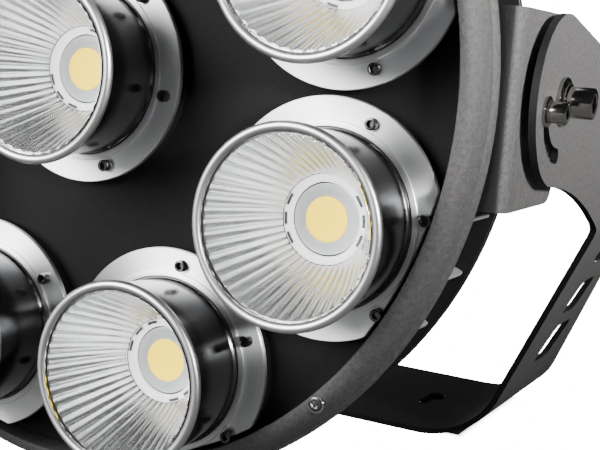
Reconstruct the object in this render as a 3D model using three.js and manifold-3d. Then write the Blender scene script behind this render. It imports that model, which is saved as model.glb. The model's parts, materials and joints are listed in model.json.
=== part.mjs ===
// Stadium flood light: a round head with nine reflector cups, tilting in a bent sheet yoke.
// Millimetres, +Z up. The origin is the middle of the underside of the yoke's base, and the lamp faces -Y.
import * as THREE from "three";
import { mergeVertices } from "three/addons/utils/BufferGeometryUtils.js";
import Module from "manifold-3d";

const wasm = await Module();
wasm.setup();

// Clearances and overruns
const SEAT_GAP = 0.3; // between pieces that sit in or on each other
const SLIDE_GAP = 0.4; // round a pin in its hole
const CUT_OVERRUN = 5; // how far a cutting tool passes the material
const WELD_TOLERANCE = 1e-4; // between points that are one

// Facets of round pieces
const LARGE_FACETS = 40;
const CUP_FACETS = 16;
const SMALL_FACETS = 10;
const SCREW_FACETS = 6;
const HEX_SIDES = 6;
const BOLT_FACETS = 12;
const SLOT_END_FACETS = 12;

// Modules: one in the middle and a ring of them around it
const RING_MODULES = 8;
const CENTRE_TURN = 19.5; // degrees that the middle module is turned on
const FLANGE_RADIUS = 80;
const FLANGE_SPACING = 3.56; // between neighbouring flanges
const FLANGE_THICKNESS = 4;
const FLANGE_WIDTH = 20; // from the cup's foot to the flange's edge
const FLANGE_TRIM_DEPTH = 15.7; // how much of an outer flange is cut off towards the ring
const FLANGE_SCREWS = 6;
const FLANGE_SCREW_INSET = 11; // of the screws' middles from the flange's edge
const FLANGE_SCREW_RADIUS = 4.2;
const FLANGE_SCREW_HEIGHT = 4.6;
const BOSS_HEIGHT = 8; // black pad under each flange
const BOSS_INSET = 1.2;
const FLANGE_SCREW_CIRCLE = FLANGE_RADIUS - FLANGE_SCREW_INSET;
const MODULE_CIRCLE = (FLANGE_RADIUS + FLANGE_SPACING / 2) / Math.sin(Math.PI / RING_MODULES);
const FLANGE_TRIM_RADIUS = MODULE_CIRCLE + FLANGE_RADIUS - FLANGE_TRIM_DEPTH;

// Cup: a spun barrel with a rolled bead round its mouth
const CUP_FOOT_HEIGHT = 7;
const CUP_WAIST_INSET = 2; // of the waist from the foot
const CUP_WAIST_RISE = 6; // above the flange's face
const CUP_HEIGHT = 61; // from the flange's face to the top of the bead
const CUP_WALL = 2.4;
const CUP_FLARE = 1.8; // of the neck, just under the bead, beyond the foot
const BEAD_REACH = 3.1; // of the bead beyond the neck
const BEAD_HEIGHT = 8;
const CUP_FOOT_RADIUS = FLANGE_RADIUS - FLANGE_WIDTH;
const CUP_WAIST_RADIUS = CUP_FOOT_RADIUS - CUP_WAIST_INSET;
const CUP_NECK_RADIUS = CUP_FOOT_RADIUS + CUP_FLARE;
const BEAD_RADIUS = CUP_NECK_RADIUS + BEAD_REACH;

// Light source on the black pad, inside the reflector's collar
const EMITTER_RADIUS = 15;
const EMITTER_THICKNESS = 0.8;
const CERAMIC_MARGIN = 8.9; // of the ceramic carrier round the emitter
const CERAMIC_THICKNESS = 1.6;
const BORE_CLEARANCE = 0.6; // round the ceramic carrier
const COLLAR_WIDTH = 5;
const COLLAR_HEIGHT = 5;
const CERAMIC_RADIUS = EMITTER_RADIUS + CERAMIC_MARGIN;
const REFLECTOR_BORE = CERAMIC_RADIUS + BORE_CLEARANCE;
const COLLAR_RADIUS = REFLECTOR_BORE + COLLAR_WIDTH;

// Fluted reflector
const FLUTES = 12;
const FLUTE_DEPTH = 1.5;
const REFLECTOR_WALL = 1.5;
const MOUTH_CLEARANCE = 1.3; // between the reflector's rim and the cup's wall
const BOWL_SHARE = 0.45; // height share of the middle of the bowl
const BOWL_FULLNESS = 0.56; // radius share there

// Cover glass in each mouth
const GLASS_THICKNESS = 3;
const GLASS_DEPTH = 1; // of its face below the top of the bead

// Face plate and front ring
const PLATE_MARGIN = 3; // of the plate round the trimmed flanges
const PLATE_THICKNESS = 8;
const RING_WIDTH = 19; // from the plate's edge to the ring's outside
const RING_CREST_HEIGHT = 5.5; // above the flanges' faces
const RING_CREST_INSET = 1; // of the crest from the ring's bore
const RING_SHOULDER_SHARES = [[0.34, 0.08], [0.68, 0.32], [0.91, 0.62], [1, 0.88]];
const RING_REAR_DEPTH = 18; // of the ring's rear edge behind the flanges' faces
const RING_SCREWS = 4;
const RING_SCREW_REACH = 6.5; // of the screws' middles beyond the plate's edge
const RING_SCREW_RADIUS = 6.2;
const RING_SCREW_LOWERING = 3.1; // of the flat seat under the crest
const RING_SCREW_HEIGHT = 3.2;
const RING_SEAT_CLEARANCE = 1.4;
const PLATE_RADIUS = FLANGE_TRIM_RADIUS + PLATE_MARGIN;
const RING_RADIUS = PLATE_RADIUS + RING_WIDTH;
const RING_SCREW_CIRCLE = PLATE_RADIUS + RING_SCREW_REACH;

// Driver housing on the back
const HOUSING_RADIUS = 103;
const HOUSING_DEPTH = 92;
const HOUSING_CHAMFER = 10;
const LID_THICKNESS = 6;
const LID_INSET = 15; // of the lid's edge from the housing's
const LID_RADIUS = HOUSING_RADIUS - LID_INSET;

// Heat sink
const CORE_INSET = 19; // of the core from the plate's edge
const CORE_THICKNESS = 18;
const FINS = 40;
const FIN_TURN = 2.7; // degrees that the row of fins is turned on
const FIN_THICKNESS = 3;
const FIN_CLEARANCE = 7; // round the driver housing
const FIN_INSET = 3.7; // of the fins from the rim's outside
const FIN_DEPTH = 50;
const FIN_ROOT = 2; // how far fins and rim run into each other
const RIM_INSET = 7.3; // of the rear rim from the front ring's outside
const RIM_WIDTH = 24;
const RIM_THICKNESS = 6;
const CORE_RADIUS = PLATE_RADIUS - CORE_INSET;
const RIM_RADIUS = RING_RADIUS - RIM_INSET;
const FIN_OUTER_RADIUS = RIM_RADIUS - FIN_INSET;
const FIN_INNER_RADIUS = HOUSING_RADIUS + FIN_CLEARANCE;

// Cable gland, in the middle of the rear rim's width
const GLAND_ANGLE = -47;
const GLAND_NUT_RADIUS = 11;
const GLAND_NUT_HEIGHT = 7;
const GLAND_CAP_RADIUS = 9;
const GLAND_CAP_HEIGHT = 14;
const GLAND_BORE = 4;
const GLAND_CIRCLE = RIM_RADIUS - RIM_WIDTH / 2;

// Tilt axis in the head
const PIVOT_RISE = 5; // above the head's axis
const PIVOT_DEPTH = 88; // behind the flanges' faces

// Ears: brackets on the head that the yoke's cheeks clamp
const EAR_STANDOFF = 9; // of the ear's outer face beyond the front ring
const EAR_THICKNESS = 6;
const EAR_HALF_HEIGHT = 64;
const EAR_DROP = 7; // of the ear's middle below the tilt axis
const EAR_FRONT_GAP = 3; // behind the front ring
const EAR_REACH_BACK = 37; // behind the tilt axis
const EAR_WEB_REACH = 60; // of the webs inwards
const EAR_NOTCH_CLEARANCE = 1; // round the pivot's nut
const EAR_CORNER = 14;
const SPACER_THICKNESS = 6; // between ear and cheek
const EAR_FACE = RING_RADIUS + EAR_STANDOFF;

// Yoke: one strip of sheet, bent four times
const YOKE_SHEET = 5;
const CHEEK_RADIUS = 57;
const HEAD_CLEARANCE = 14; // between the front ring and the base's underside
const BASE_INSET = 111; // of the outer face at the lower bends from the cheek's
const KNEE_CLEARANCE = 43; // of the upper bend below the round cheek
const KNEE_SETBACK = 144; // behind the tilt axis
const ARM_SETBACK = 88; // of the base's front edge behind the knee
const TOP_EDGE_FALL = 11; // degrees that the upper edge falls to the rear
const REAR_TOP_SETBACK = 276;
const ARM_REAR_REACH = 156; // of the base's rear edge behind the arm's upper rear corner
const REAR_TOP_CORNER = 34;
const FRONT_FILLET = 7; // along the edges where cheek and arm meet
const NECK_SWELL_SETBACK = 70; // pulls the curve between cheek and arm
const NECK_SWELL_DROP = 62;
const BEND_RADIUS = 85; // inside radius of the lower bends
const BEND_STEPS = 6;
const CHEEK_STEPS = 10;
const CHEEK_FACE = EAR_FACE + SPACER_THICKNESS + YOKE_SHEET;
const PIVOT_HEIGHT = RING_RADIUS + PIVOT_RISE + HEAD_CLEARANCE;
const BASE_HALF_LENGTH = CHEEK_FACE - BASE_INSET;
const KNEE_DROP = CHEEK_RADIUS + KNEE_CLEARANCE;
const BASE_FRONT_SETBACK = KNEE_SETBACK + ARM_SETBACK;
const BASE_REAR_SETBACK = REAR_TOP_SETBACK + ARM_REAR_REACH;

// Windows in the arms and slots in the base
const WINDOW_STEPS = 2;
const WINDOW_COUNT = 3;
const WINDOW_LENGTH = 37;
const WINDOW_HEIGHT = 27;
const WINDOW_GROWTH = 5.5; // of length and height from one window to the next one down
const WINDOW_CORNER = 10;
const WINDOW_REAR_INSET = 38.5; // of the top window's middle ahead of the arm's upper rear corner
const WINDOW_KNEE_GAP = 24; // of the top window's middle below the upper bend
const WINDOW_PITCH_DROP = 50;
const WINDOW_PITCH_SETBACK = 26;
const BASE_HOLE_RADIUS = 8.5;
const BASE_HOLE_INSET = 76; // of the slots' middles from the lower bends
const BASE_SLOT_HALF_LENGTH = 14;
const WINDOW_TOP_SETBACK = REAR_TOP_SETBACK - WINDOW_REAR_INSET;
const WINDOW_TOP_DROP = KNEE_DROP + WINDOW_KNEE_GAP;
const BASE_HOLE_SPACING = 2 * (BASE_HALF_LENGTH - BASE_HOLE_INSET);

// Arc slot in each cheek
const SLOT_EDGE_DISTANCE = 21; // of the slot's middle line from the cheek's edge
const SLOT_HALF_WIDTH = 5.2;
const SLOT_TOP_ANGLE = -9;
const SLOT_BOTTOM_ANGLE = -89;
const LOCK_ANGLE = -10; // of the lock bolt at rest, from straight ahead
const SLOT_STEPS = 8;
const CAP_STEPS = 3;
const SLOT_RADIUS = CHEEK_RADIUS - SLOT_EDGE_DISTANCE;

// Pivot bolts and lock bolts
const PIVOT_SHANK_RADIUS = 7;
const PIVOT_WASHER_RADIUS = 16;
const PIVOT_WASHER_THICKNESS = 3;
const PIVOT_SPRING_RADIUS = 12.5;
const PIVOT_SPRING_THICKNESS = 2.5;
const PIVOT_HEAD_RADIUS = 10;
const PIVOT_HEAD_LENGTH = 14;
const PIVOT_SOCKET_RADIUS = 6.4;
const PIVOT_SOCKET_DEPTH = 7;
const LOCK_SHANK_RADIUS = 4;
const LOCK_WASHER_RADIUS = 10;
const LOCK_WASHER_THICKNESS = 2;
const LOCK_SPRING_RADIUS = 7.6;
const LOCK_SPRING_THICKNESS = 2;
const LOCK_HEAD_RADIUS = 6.7;
const LOCK_HEAD_LENGTH = 9;
const LOCK_SOCKET_RADIUS = 4;
const LOCK_SOCKET_DEPTH = 4.5;
const NUT_THICKNESS_SHARE = 1.2; // of its bolt's shank radius
const NUT_RADIUS_SHARE = 1.75;
const SPACER_MARGIN = 13; // of the friction ring round the pivot's shank
const SPACER_RADIUS = PIVOT_SHANK_RADIUS + SPACER_MARGIN;

// Heights along the lamp's axis, from the flanges' front faces
const FLANGE_SEAT = -FLANGE_THICKNESS;
const PLATE_FRONT = FLANGE_SEAT - BOSS_HEIGHT;
const PLATE_BACK = PLATE_FRONT - PLATE_THICKNESS;
const CORE_FRONT = PLATE_BACK - SEAT_GAP;
const CORE_BACK = CORE_FRONT - CORE_THICKNESS;
const FIN_BACK = CORE_BACK - FIN_DEPTH;
const RIM_BACK = FIN_BACK - RIM_THICKNESS;
const GLASS_TOP = CUP_HEIGHT - GLASS_DEPTH;
const GLASS_BOTTOM = GLASS_TOP - GLASS_THICKNESS;
const CUP_MOUTH_RADIUS = CUP_NECK_RADIUS - CUP_WALL;
const PIVOT_Y = -(BASE_FRONT_SETBACK + BASE_REAR_SETBACK) / 2;

// Solids

// Turns a closed three.js geometry into a solid whose faces point out.
function solid(geometry) {
  const source = geometry.clone();
  source.deleteAttribute("normal");
  source.deleteAttribute("uv");
  const merged = mergeVertices(source, WELD_TOLERANCE);
  const vertices = merged.attributes.position.array;
  const kept = [];
  for (let i = 0; i < merged.index.count; i += 3) {
    const [a, b, c] = [0, 1, 2].map((k) => merged.index.getX(i + k));
    if (a !== b && b !== c && c !== a) kept.push(a, b, c);
  }
  const make = (triangles) =>
    new wasm.Manifold(
      new wasm.Mesh({ numProp: 3, vertProperties: vertices, triVerts: new Uint32Array(triangles) }),
    );
  const made = make(kept);
  if (made.volume() >= 0) return made;
  return make(kept.map((_, i) => kept[i - (i % 3) + ((3 - (i % 3)) % 3)]));
}

// Turns a closed profile of [radius, height] points about Z.
function revolve(profile, facets, phase = 0) {
  const points = [...profile, profile[0]].map(([r, z]) => new THREE.Vector2(r, z));
  const geometry = new THREE.LatheGeometry(points, facets, phase);
  return solid(geometry.rotateX(Math.PI / 2));
}

function disc(radius, bottom, top, facets, x = 0, y = 0) {
  const geometry = new THREE.CylinderGeometry(radius, radius, top - bottom, facets);
  return solid(geometry.rotateX(Math.PI / 2).translate(x, y, (top + bottom) / 2));
}

function box(low, high) {
  const size = high.map((v, i) => v - low[i]);
  const middle = high.map((v, i) => (v + low[i]) / 2);
  return solid(new THREE.BoxGeometry(...size).translate(...middle));
}

// Extrudes an outline of the YZ plane along X, from one x to another.
function slab(shape, fromX, toX, curveSegments) {
  const geometry = new THREE.ExtrudeGeometry(shape, {
    depth: toX - fromX, bevelEnabled: false, curveSegments,
  });
  const turn = new THREE.Matrix4().makeBasis(
    new THREE.Vector3(0, 1, 0), new THREE.Vector3(0, 0, 1), new THREE.Vector3(1, 0, 0),
  );
  return solid(geometry.applyMatrix4(turn).translate(fromX, 0, 0));
}

// A cylinder along X at a place in the YZ plane.
function pin(radius, fromX, toX, facets, y = 0, z = 0) {
  const geometry = new THREE.CylinderGeometry(radius, radius, Math.abs(toX - fromX), facets);
  return solid(geometry.rotateZ(Math.PI / 2).translate((fromX + toX) / 2, y, z));
}

function join(parts) {
  return parts.reduce((whole, part) => whole.add(part));
}

function mirrorX(shape) {
  return shape.mirror([1, 0, 0]);
}

const parts = new THREE.Group();

function addMesh(group, name, shape, [color, roughness, metalness]) {
  const { vertProperties, triVerts, numProp } = shape.getMesh();
  if (numProp !== 3) throw new Error(`${name} carries more than positions`);
  const geometry = new THREE.BufferGeometry();
  geometry.setAttribute("position", new THREE.BufferAttribute(new Float32Array(vertProperties), 3));
  geometry.setIndex(new THREE.BufferAttribute(new Uint32Array(triVerts), 1));
  geometry.computeVertexNormals();
  const mesh = new THREE.Mesh(
    geometry, new THREE.MeshStandardMaterial({ color, roughness, metalness }),
  );
  mesh.name = name;
  group.add(mesh);
}

const polar = (radius, degrees) => {
  const a = THREE.MathUtils.degToRad(degrees);
  return [radius * Math.cos(a), radius * Math.sin(a)];
};

// Module places: the middle one first, then anticlockwise from just above the right-hand side
const modulePlaces = [[0, 0]];
for (let i = 0; i < RING_MODULES; i++) {
  modulePlaces.push(polar(MODULE_CIRCLE, (360 / RING_MODULES) * (i + 0.5)));
}

// Module pieces, about their own axis

function flange(turn, [middleX, middleY]) {
  const bore = CUP_FOOT_RADIUS + SEAT_GAP;
  const trim = disc(
    FLANGE_TRIM_RADIUS, FLANGE_SEAT - CUT_OVERRUN, CUT_OVERRUN, LARGE_FACETS, -middleX, -middleY,
  );
  const plate = revolve(
    [[bore, FLANGE_SEAT], [FLANGE_RADIUS, FLANGE_SEAT], [FLANGE_RADIUS, 0], [bore, 0]], CUP_FACETS,
  ).intersect(trim);
  const screws = [];
  for (let i = 0; i < FLANGE_SCREWS; i++) {
    const [x, y] = polar(FLANGE_SCREW_CIRCLE, turn + (360 / FLANGE_SCREWS) * (i + 0.5));
    const root = FLANGE_SEAT / 2;
    screws.push(disc(FLANGE_SCREW_RADIUS, root, FLANGE_SCREW_HEIGHT, SCREW_FACETS, x, y));
  }
  return join([plate, ...screws]);
}

function cup() {
  const wall = CUP_WALL;
  const footBore = CUP_WAIST_RADIUS - wall - SEAT_GAP;
  return revolve(
    [
      [footBore, FLANGE_SEAT], [CUP_FOOT_RADIUS, FLANGE_SEAT],
      [CUP_FOOT_RADIUS, FLANGE_SEAT + CUP_FOOT_HEIGHT], [CUP_WAIST_RADIUS, CUP_WAIST_RISE],
      [CUP_NECK_RADIUS, CUP_HEIGHT - BEAD_HEIGHT], [BEAD_RADIUS, CUP_HEIGHT - BEAD_HEIGHT / 2],
      [(BEAD_RADIUS + CUP_MOUTH_RADIUS) / 2, CUP_HEIGHT], [CUP_MOUTH_RADIUS, GLASS_TOP],
      [CUP_MOUTH_RADIUS, CUP_HEIGHT - BEAD_HEIGHT], [CUP_WAIST_RADIUS - wall, CUP_WAIST_RISE],
    ],
    CUP_FACETS,
  );
}

// A bowl whose inner face is a ring of radial flutes: every second column of points stands deeper.
function reflector() {
  const bottom = FLANGE_SEAT + SEAT_GAP;
  const collarTop = bottom + COLLAR_HEIGHT;
  const top = GLASS_BOTTOM;
  const rim = CUP_MOUTH_RADIUS - MOUTH_CLEARANCE;
  const mouth = rim - REFLECTOR_WALL - FLUTE_DEPTH;
  const middle = COLLAR_RADIUS + (mouth - COLLAR_RADIUS) * BOWL_FULLNESS;
  const middleHeight = collarTop + (top - collarTop) * BOWL_SHARE;
  const profile = [
    [REFLECTOR_BORE, bottom, 0], [COLLAR_RADIUS, collarTop, 0],
    [middle, middleHeight, FLUTE_DEPTH], [mouth, top, FLUTE_DEPTH],
    [rim, top, 0], [middle + REFLECTOR_WALL + FLUTE_DEPTH, middleHeight, 0],
    [COLLAR_RADIUS + REFLECTOR_WALL, bottom, 0],
  ];
  const closed = [...profile, profile[0]];
  const columns = FLUTES * 2;
  const geometry = new THREE.LatheGeometry(closed.map(([r, z]) => new THREE.Vector2(r, z)), columns);
  const position = geometry.attributes.position;
  for (let i = 0; i <= columns; i += 1) {
    for (let j = 0; j < closed.length; j++) {
      const [radius, , depth] = closed[j];
      const scale = 1 + ((i % 2) * depth) / radius;
      const k = i * closed.length + j;
      position.setXYZ(k, position.getX(k) * scale, position.getY(k), position.getZ(k) * scale);
    }
  }
  return solid(geometry.rotateX(Math.PI / 2));
}

function lightSource() {
  const ceramicTop = FLANGE_SEAT + CERAMIC_THICKNESS;
  const emitterTop = ceramicTop + EMITTER_THICKNESS;
  return revolve(
    [
      [0, FLANGE_SEAT], [CERAMIC_RADIUS, FLANGE_SEAT], [CERAMIC_RADIUS, ceramicTop],
      [EMITTER_RADIUS, ceramicTop], [EMITTER_RADIUS, emitterTop], [0, emitterTop],
    ],
    SMALL_FACETS,
  );
}

function coverGlass() {
  const radius = CUP_MOUTH_RADIUS - SEAT_GAP;
  return disc(radius, GLASS_BOTTOM, GLASS_TOP, CUP_FACETS);
}

// Head pieces

function facePlate() {
  const base = disc(PLATE_RADIUS, PLATE_BACK, PLATE_FRONT, LARGE_FACETS);
  const bosses = modulePlaces.map(([x, y]) =>
    disc(FLANGE_RADIUS - BOSS_INSET, (PLATE_BACK + PLATE_FRONT) / 2, FLANGE_SEAT, CUP_FACETS, x, y));
  const rimmed = disc(FLANGE_TRIM_RADIUS, PLATE_BACK, FLANGE_SEAT, LARGE_FACETS);
  return join([base, ...bosses.map((boss) => boss.intersect(rimmed))]);
}

function frontRing() {
  const bore = PLATE_RADIUS + SEAT_GAP;
  const crest = RING_CREST_HEIGHT;
  const crestRadius = bore + RING_CREST_INSET;
  const shoulder = RING_SHOULDER_SHARES.map(([across, down]) => [
    crestRadius + (RING_RADIUS - crestRadius) * across, crest - (crest + RING_REAR_DEPTH) * down,
  ]);
  let ring = revolve(
    [[bore, -RING_REAR_DEPTH], [bore, crest - RING_CREST_INSET], [crestRadius, crest], ...shoulder,
      [RING_RADIUS, -RING_REAR_DEPTH]],
    LARGE_FACETS,
  );
  const seat = crest - RING_SCREW_LOWERING;
  for (let i = 0; i < RING_SCREWS; i++) {
    const [x, y] = polar(RING_SCREW_CIRCLE, (360 / RING_SCREWS) * (i + 0.5));
    const pocket = disc(
      RING_SCREW_RADIUS + RING_SEAT_CLEARANCE, seat, crest + CUT_OVERRUN, BOLT_FACETS, x, y,
    );
    const sinking = seat - RING_SCREW_HEIGHT;
    const head = disc(RING_SCREW_RADIUS, sinking, seat + RING_SCREW_HEIGHT, BOLT_FACETS, x, y);
    ring = ring.subtract(pocket).add(head);
  }
  return ring;
}

function heatSink() {
  const core = disc(CORE_RADIUS, CORE_BACK, CORE_FRONT, LARGE_FACETS);
  const rim = revolve(
    [
      [RIM_RADIUS - RIM_WIDTH, RIM_BACK], [RIM_RADIUS, RIM_BACK],
      [RIM_RADIUS, FIN_BACK], [RIM_RADIUS - RIM_WIDTH, FIN_BACK],
    ],
    LARGE_FACETS,
  );
  const fins = [];
  for (let i = 0; i < FINS; i++) {
    const fin = new THREE.BoxGeometry(
      FIN_OUTER_RADIUS - FIN_INNER_RADIUS, FIN_THICKNESS, FIN_DEPTH + 2 * FIN_ROOT,
    );
    fin.translate((FIN_OUTER_RADIUS + FIN_INNER_RADIUS) / 2, 0, (CORE_BACK + FIN_BACK) / 2);
    fins.push(solid(fin.rotateZ(THREE.MathUtils.degToRad(FIN_TURN + (360 / FINS) * i))));
  }
  return join([core, rim, ...fins]);
}

function driverHousing() {
  const front = CORE_BACK - SEAT_GAP;
  const back = front - HOUSING_DEPTH;
  return revolve(
    [
      [0, back], [HOUSING_RADIUS - HOUSING_CHAMFER, back],
      [HOUSING_RADIUS, back + HOUSING_CHAMFER], [HOUSING_RADIUS, front], [0, front],
    ],
    CUP_FACETS,
  );
}

function driverLid() {
  const front = CORE_BACK - SEAT_GAP - HOUSING_DEPTH - SEAT_GAP;
  return disc(LID_RADIUS, front - LID_THICKNESS, front, CUP_FACETS);
}

function cableGland() {
  const [x, y] = polar(GLAND_CIRCLE, GLAND_ANGLE);
  const seat = RIM_BACK - SEAT_GAP;
  const nutBack = seat - GLAND_NUT_HEIGHT;
  const capBack = nutBack - GLAND_CAP_HEIGHT;
  const nut = disc(GLAND_NUT_RADIUS, nutBack, seat, HEX_SIDES, x, y);
  const cap = disc(GLAND_CAP_RADIUS, capBack, seat - GLAND_NUT_HEIGHT / 2, BOLT_FACETS, x, y);
  const bore = disc(GLAND_BORE, capBack - CUT_OVERRUN, nutBack, SCREW_FACETS, x, y);
  return nut.add(cap).subtract(bore);
}

// Ear on the +X side, in head coordinates: X across, Y up, Z forward.
function ear() {
  const front = -RING_REAR_DEPTH - EAR_FRONT_GAP;
  const back = -PIVOT_DEPTH - EAR_REACH_BACK;
  const middle = PIVOT_RISE - EAR_DROP;
  const [low, high] = [middle - EAR_HALF_HEIGHT, middle + EAR_HALF_HEIGHT];
  const inner = EAR_FACE - EAR_THICKNESS;
  const outline = new THREE.Shape();
  outline.moveTo(low, front);
  outline.lineTo(high, front);
  outline.lineTo(high, back + EAR_CORNER);
  outline.lineTo(high - EAR_CORNER, back);
  outline.lineTo(low + EAR_CORNER, back);
  outline.lineTo(low, back + EAR_CORNER);
  outline.closePath();
  const plate = slab(outline, inner, EAR_FACE);
  const webStart = EAR_FACE - EAR_WEB_REACH;
  const frontWeb = box([webStart, low, front - EAR_THICKNESS], [EAR_FACE, high, front]);
  const core = disc(
    CORE_RADIUS + SEAT_GAP, front - EAR_THICKNESS - CUT_OVERRUN, front + CUT_OVERRUN, LARGE_FACETS,
  );
  const webBack = RIM_BACK - SEAT_GAP;
  const rearWeb = box([webStart, low, webBack - EAR_THICKNESS], [EAR_FACE, high, webBack]);
  const [lockY, lockZ] = lockPlace();
  const nutRadius = PIVOT_SHANK_RADIUS * NUT_RADIUS_SHARE;
  const notch = pin(
    nutRadius + EAR_NOTCH_CLEARANCE, webStart - CUT_OVERRUN, inner, BOLT_FACETS, PIVOT_RISE, -PIVOT_DEPTH,
  );
  const holes = [
    notch,
    pin(PIVOT_SHANK_RADIUS + SLIDE_GAP, inner - CUT_OVERRUN, EAR_FACE + CUT_OVERRUN, BOLT_FACETS,
      PIVOT_RISE, -PIVOT_DEPTH),
    pin(LOCK_SHANK_RADIUS + SLIDE_GAP, inner - CUT_OVERRUN, EAR_FACE + CUT_OVERRUN, BOLT_FACETS,
      lockY, lockZ),
  ];
  const body = plate.add(frontWeb.subtract(core)).add(rearWeb);
  return holes.reduce((whole, hole) => whole.subtract(hole), body);
}

// Where the lock bolt stands in the head: along the slot's circle from straight ahead.
function lockPlace() {
  const [ahead, up] = polar(SLOT_RADIUS, LOCK_ANGLE);
  return [PIVOT_RISE + up, -PIVOT_DEPTH + ahead];
}

// A socket-head bolt along X with its washers outside the cheek and its nut inside the ear.
function clampBolt(size, y, z) {
  const face = CHEEK_FACE;
  const washerEnd = face + size.washerThickness;
  const springEnd = washerEnd + size.springThickness;
  const headEnd = springEnd + size.headLength;
  const nutEnd = EAR_FACE - EAR_THICKNESS;
  const nutStart = nutEnd - size.shank * NUT_THICKNESS_SHARE;
  const shank = pin(size.shank, nutStart, springEnd, BOLT_FACETS, y, z);
  const washer = pin(size.washer, face, washerEnd, BOLT_FACETS, y, z);
  const spring = pin(size.spring, washerEnd, springEnd, BOLT_FACETS, y, z);
  const head = pin(size.head, springEnd, headEnd, BOLT_FACETS, y, z);
  const nut = pin(size.shank * NUT_RADIUS_SHARE, nutStart, nutEnd, HEX_SIDES, y, z);
  const socket = pin(
    size.socket, headEnd - size.socketDepth, headEnd + CUT_OVERRUN, HEX_SIDES, y, z,
  );
  return join([shank, washer, spring, head, nut]).subtract(socket);
}

const PIVOT_BOLT = {
  shank: PIVOT_SHANK_RADIUS,
  washer: PIVOT_WASHER_RADIUS, washerThickness: PIVOT_WASHER_THICKNESS,
  spring: PIVOT_SPRING_RADIUS, springThickness: PIVOT_SPRING_THICKNESS,
  head: PIVOT_HEAD_RADIUS, headLength: PIVOT_HEAD_LENGTH,
  socket: PIVOT_SOCKET_RADIUS, socketDepth: PIVOT_SOCKET_DEPTH,
};
const LOCK_BOLT = {
  shank: LOCK_SHANK_RADIUS,
  washer: LOCK_WASHER_RADIUS, washerThickness: LOCK_WASHER_THICKNESS,
  spring: LOCK_SPRING_RADIUS, springThickness: LOCK_SPRING_THICKNESS,
  head: LOCK_HEAD_RADIUS, headLength: LOCK_HEAD_LENGTH,
  socket: LOCK_SOCKET_RADIUS, socketDepth: LOCK_SOCKET_DEPTH,
};

// Ring of friction material between ear and cheek, round the pivot bolt.
function spacer() {
  const ring = pin(
    SPACER_RADIUS, EAR_FACE, EAR_FACE + SPACER_THICKNESS, CUP_FACETS, PIVOT_RISE, -PIVOT_DEPTH,
  );
  const bore = pin(PIVOT_SHANK_RADIUS + SLIDE_GAP, EAR_FACE - CUT_OVERRUN, CHEEK_FACE, BOLT_FACETS,
    PIVOT_RISE, -PIVOT_DEPTH);
  return ring.subtract(bore);
}

// Yoke: the bent strip seen from the front, cut to the arms' outline seen from the side.

// The strip's outer line on the +X side runs down the cheek, in along the arm and under the base.
function stripSection() {
  const kneeHeight = PIVOT_HEIGHT - KNEE_DROP;
  const top = PIVOT_HEIGHT + CHEEK_RADIUS + CUT_OVERRUN;
  const lean = Math.atan2(CHEEK_FACE - BASE_HALF_LENGTH, kneeHeight);
  const tilt = Math.PI / 2 - lean; // of the arm above level
  const tangent = (BEND_RADIUS + YOKE_SHEET) * Math.tan(tilt / 2);
  const centre = [BASE_HALF_LENGTH - tangent, BEND_RADIUS + YOKE_SHEET];
  const bend = (radius) =>
    Array.from({ length: BEND_STEPS + 1 }, (_, i) => {
      const a = (tilt * i) / BEND_STEPS;
      return [centre[0] + radius * Math.sin(a), centre[1] - radius * Math.cos(a)];
    });
  const kneeShift = YOKE_SHEET * Math.tan(lean / 2);
  const outer = [...bend(BEND_RADIUS + YOKE_SHEET), [CHEEK_FACE, kneeHeight], [CHEEK_FACE, top]];
  const inner = [
    ...bend(BEND_RADIUS),
    [CHEEK_FACE - YOKE_SHEET, kneeHeight + kneeShift], [CHEEK_FACE - YOKE_SHEET, top],
  ];
  const right = [...outer, ...inner.reverse()];
  const left = right.map(([x, z]) => [-x, z]).reverse();
  return [...right, ...left];
}

// Arm and cheek from the side: round the pivot, back along the top, down the rear and up the front.
function sideOutline() {
  const place = (setback, drop) => [PIVOT_Y + setback, PIVOT_HEIGHT - drop];
  const between = (from, to, distance) => {
    const share = distance / Math.hypot(to[0] - from[0], to[1] - from[1]);
    return [from[0] + (to[0] - from[0]) * share, from[1] + (to[1] - from[1]) * share];
  };
  const fall = THREE.MathUtils.degToRad(TOP_EDGE_FALL);
  const edgeStart = [CHEEK_RADIUS * Math.sin(fall), CHEEK_RADIUS * Math.cos(fall)];
  const edgeEnd = edgeStart[1] - (REAR_TOP_SETBACK - edgeStart[0]) * Math.tan(fall);
  const rearTop = place(REAR_TOP_SETBACK, -edgeEnd);
  const rearKnee = place(REAR_TOP_SETBACK, KNEE_DROP);
  const sheetTop = PIVOT_HEIGHT - YOKE_SHEET;
  const under = PIVOT_HEIGHT + CUT_OVERRUN;
  const knee = place(KNEE_SETBACK, KNEE_DROP);
  const baseFront = place(BASE_FRONT_SETBACK, sheetTop);
  const swell = place(NECK_SWELL_SETBACK, NECK_SWELL_DROP);
  const outline = new THREE.Shape();
  outline.moveTo(...place(0, CHEEK_RADIUS));
  outline.absarc(...place(0, 0), CHEEK_RADIUS, -Math.PI / 2, -Math.PI * 1.5 - fall, true);
  outline.lineTo(...between(rearTop, place(edgeStart[0], -edgeStart[1]), REAR_TOP_CORNER));
  outline.quadraticCurveTo(...rearTop, ...between(rearTop, rearKnee, REAR_TOP_CORNER));
  outline.lineTo(...rearKnee);
  outline.lineTo(...place(BASE_REAR_SETBACK, sheetTop));
  outline.lineTo(...place(BASE_REAR_SETBACK, under));
  outline.lineTo(...place(BASE_FRONT_SETBACK, under));
  outline.lineTo(...baseFront);
  outline.lineTo(...between(knee, baseFront, FRONT_FILLET));
  outline.quadraticCurveTo(...knee, ...between(knee, swell, FRONT_FILLET));
  outline.quadraticCurveTo(...swell, ...place(0, CHEEK_RADIUS));
  return outline;
}

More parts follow.
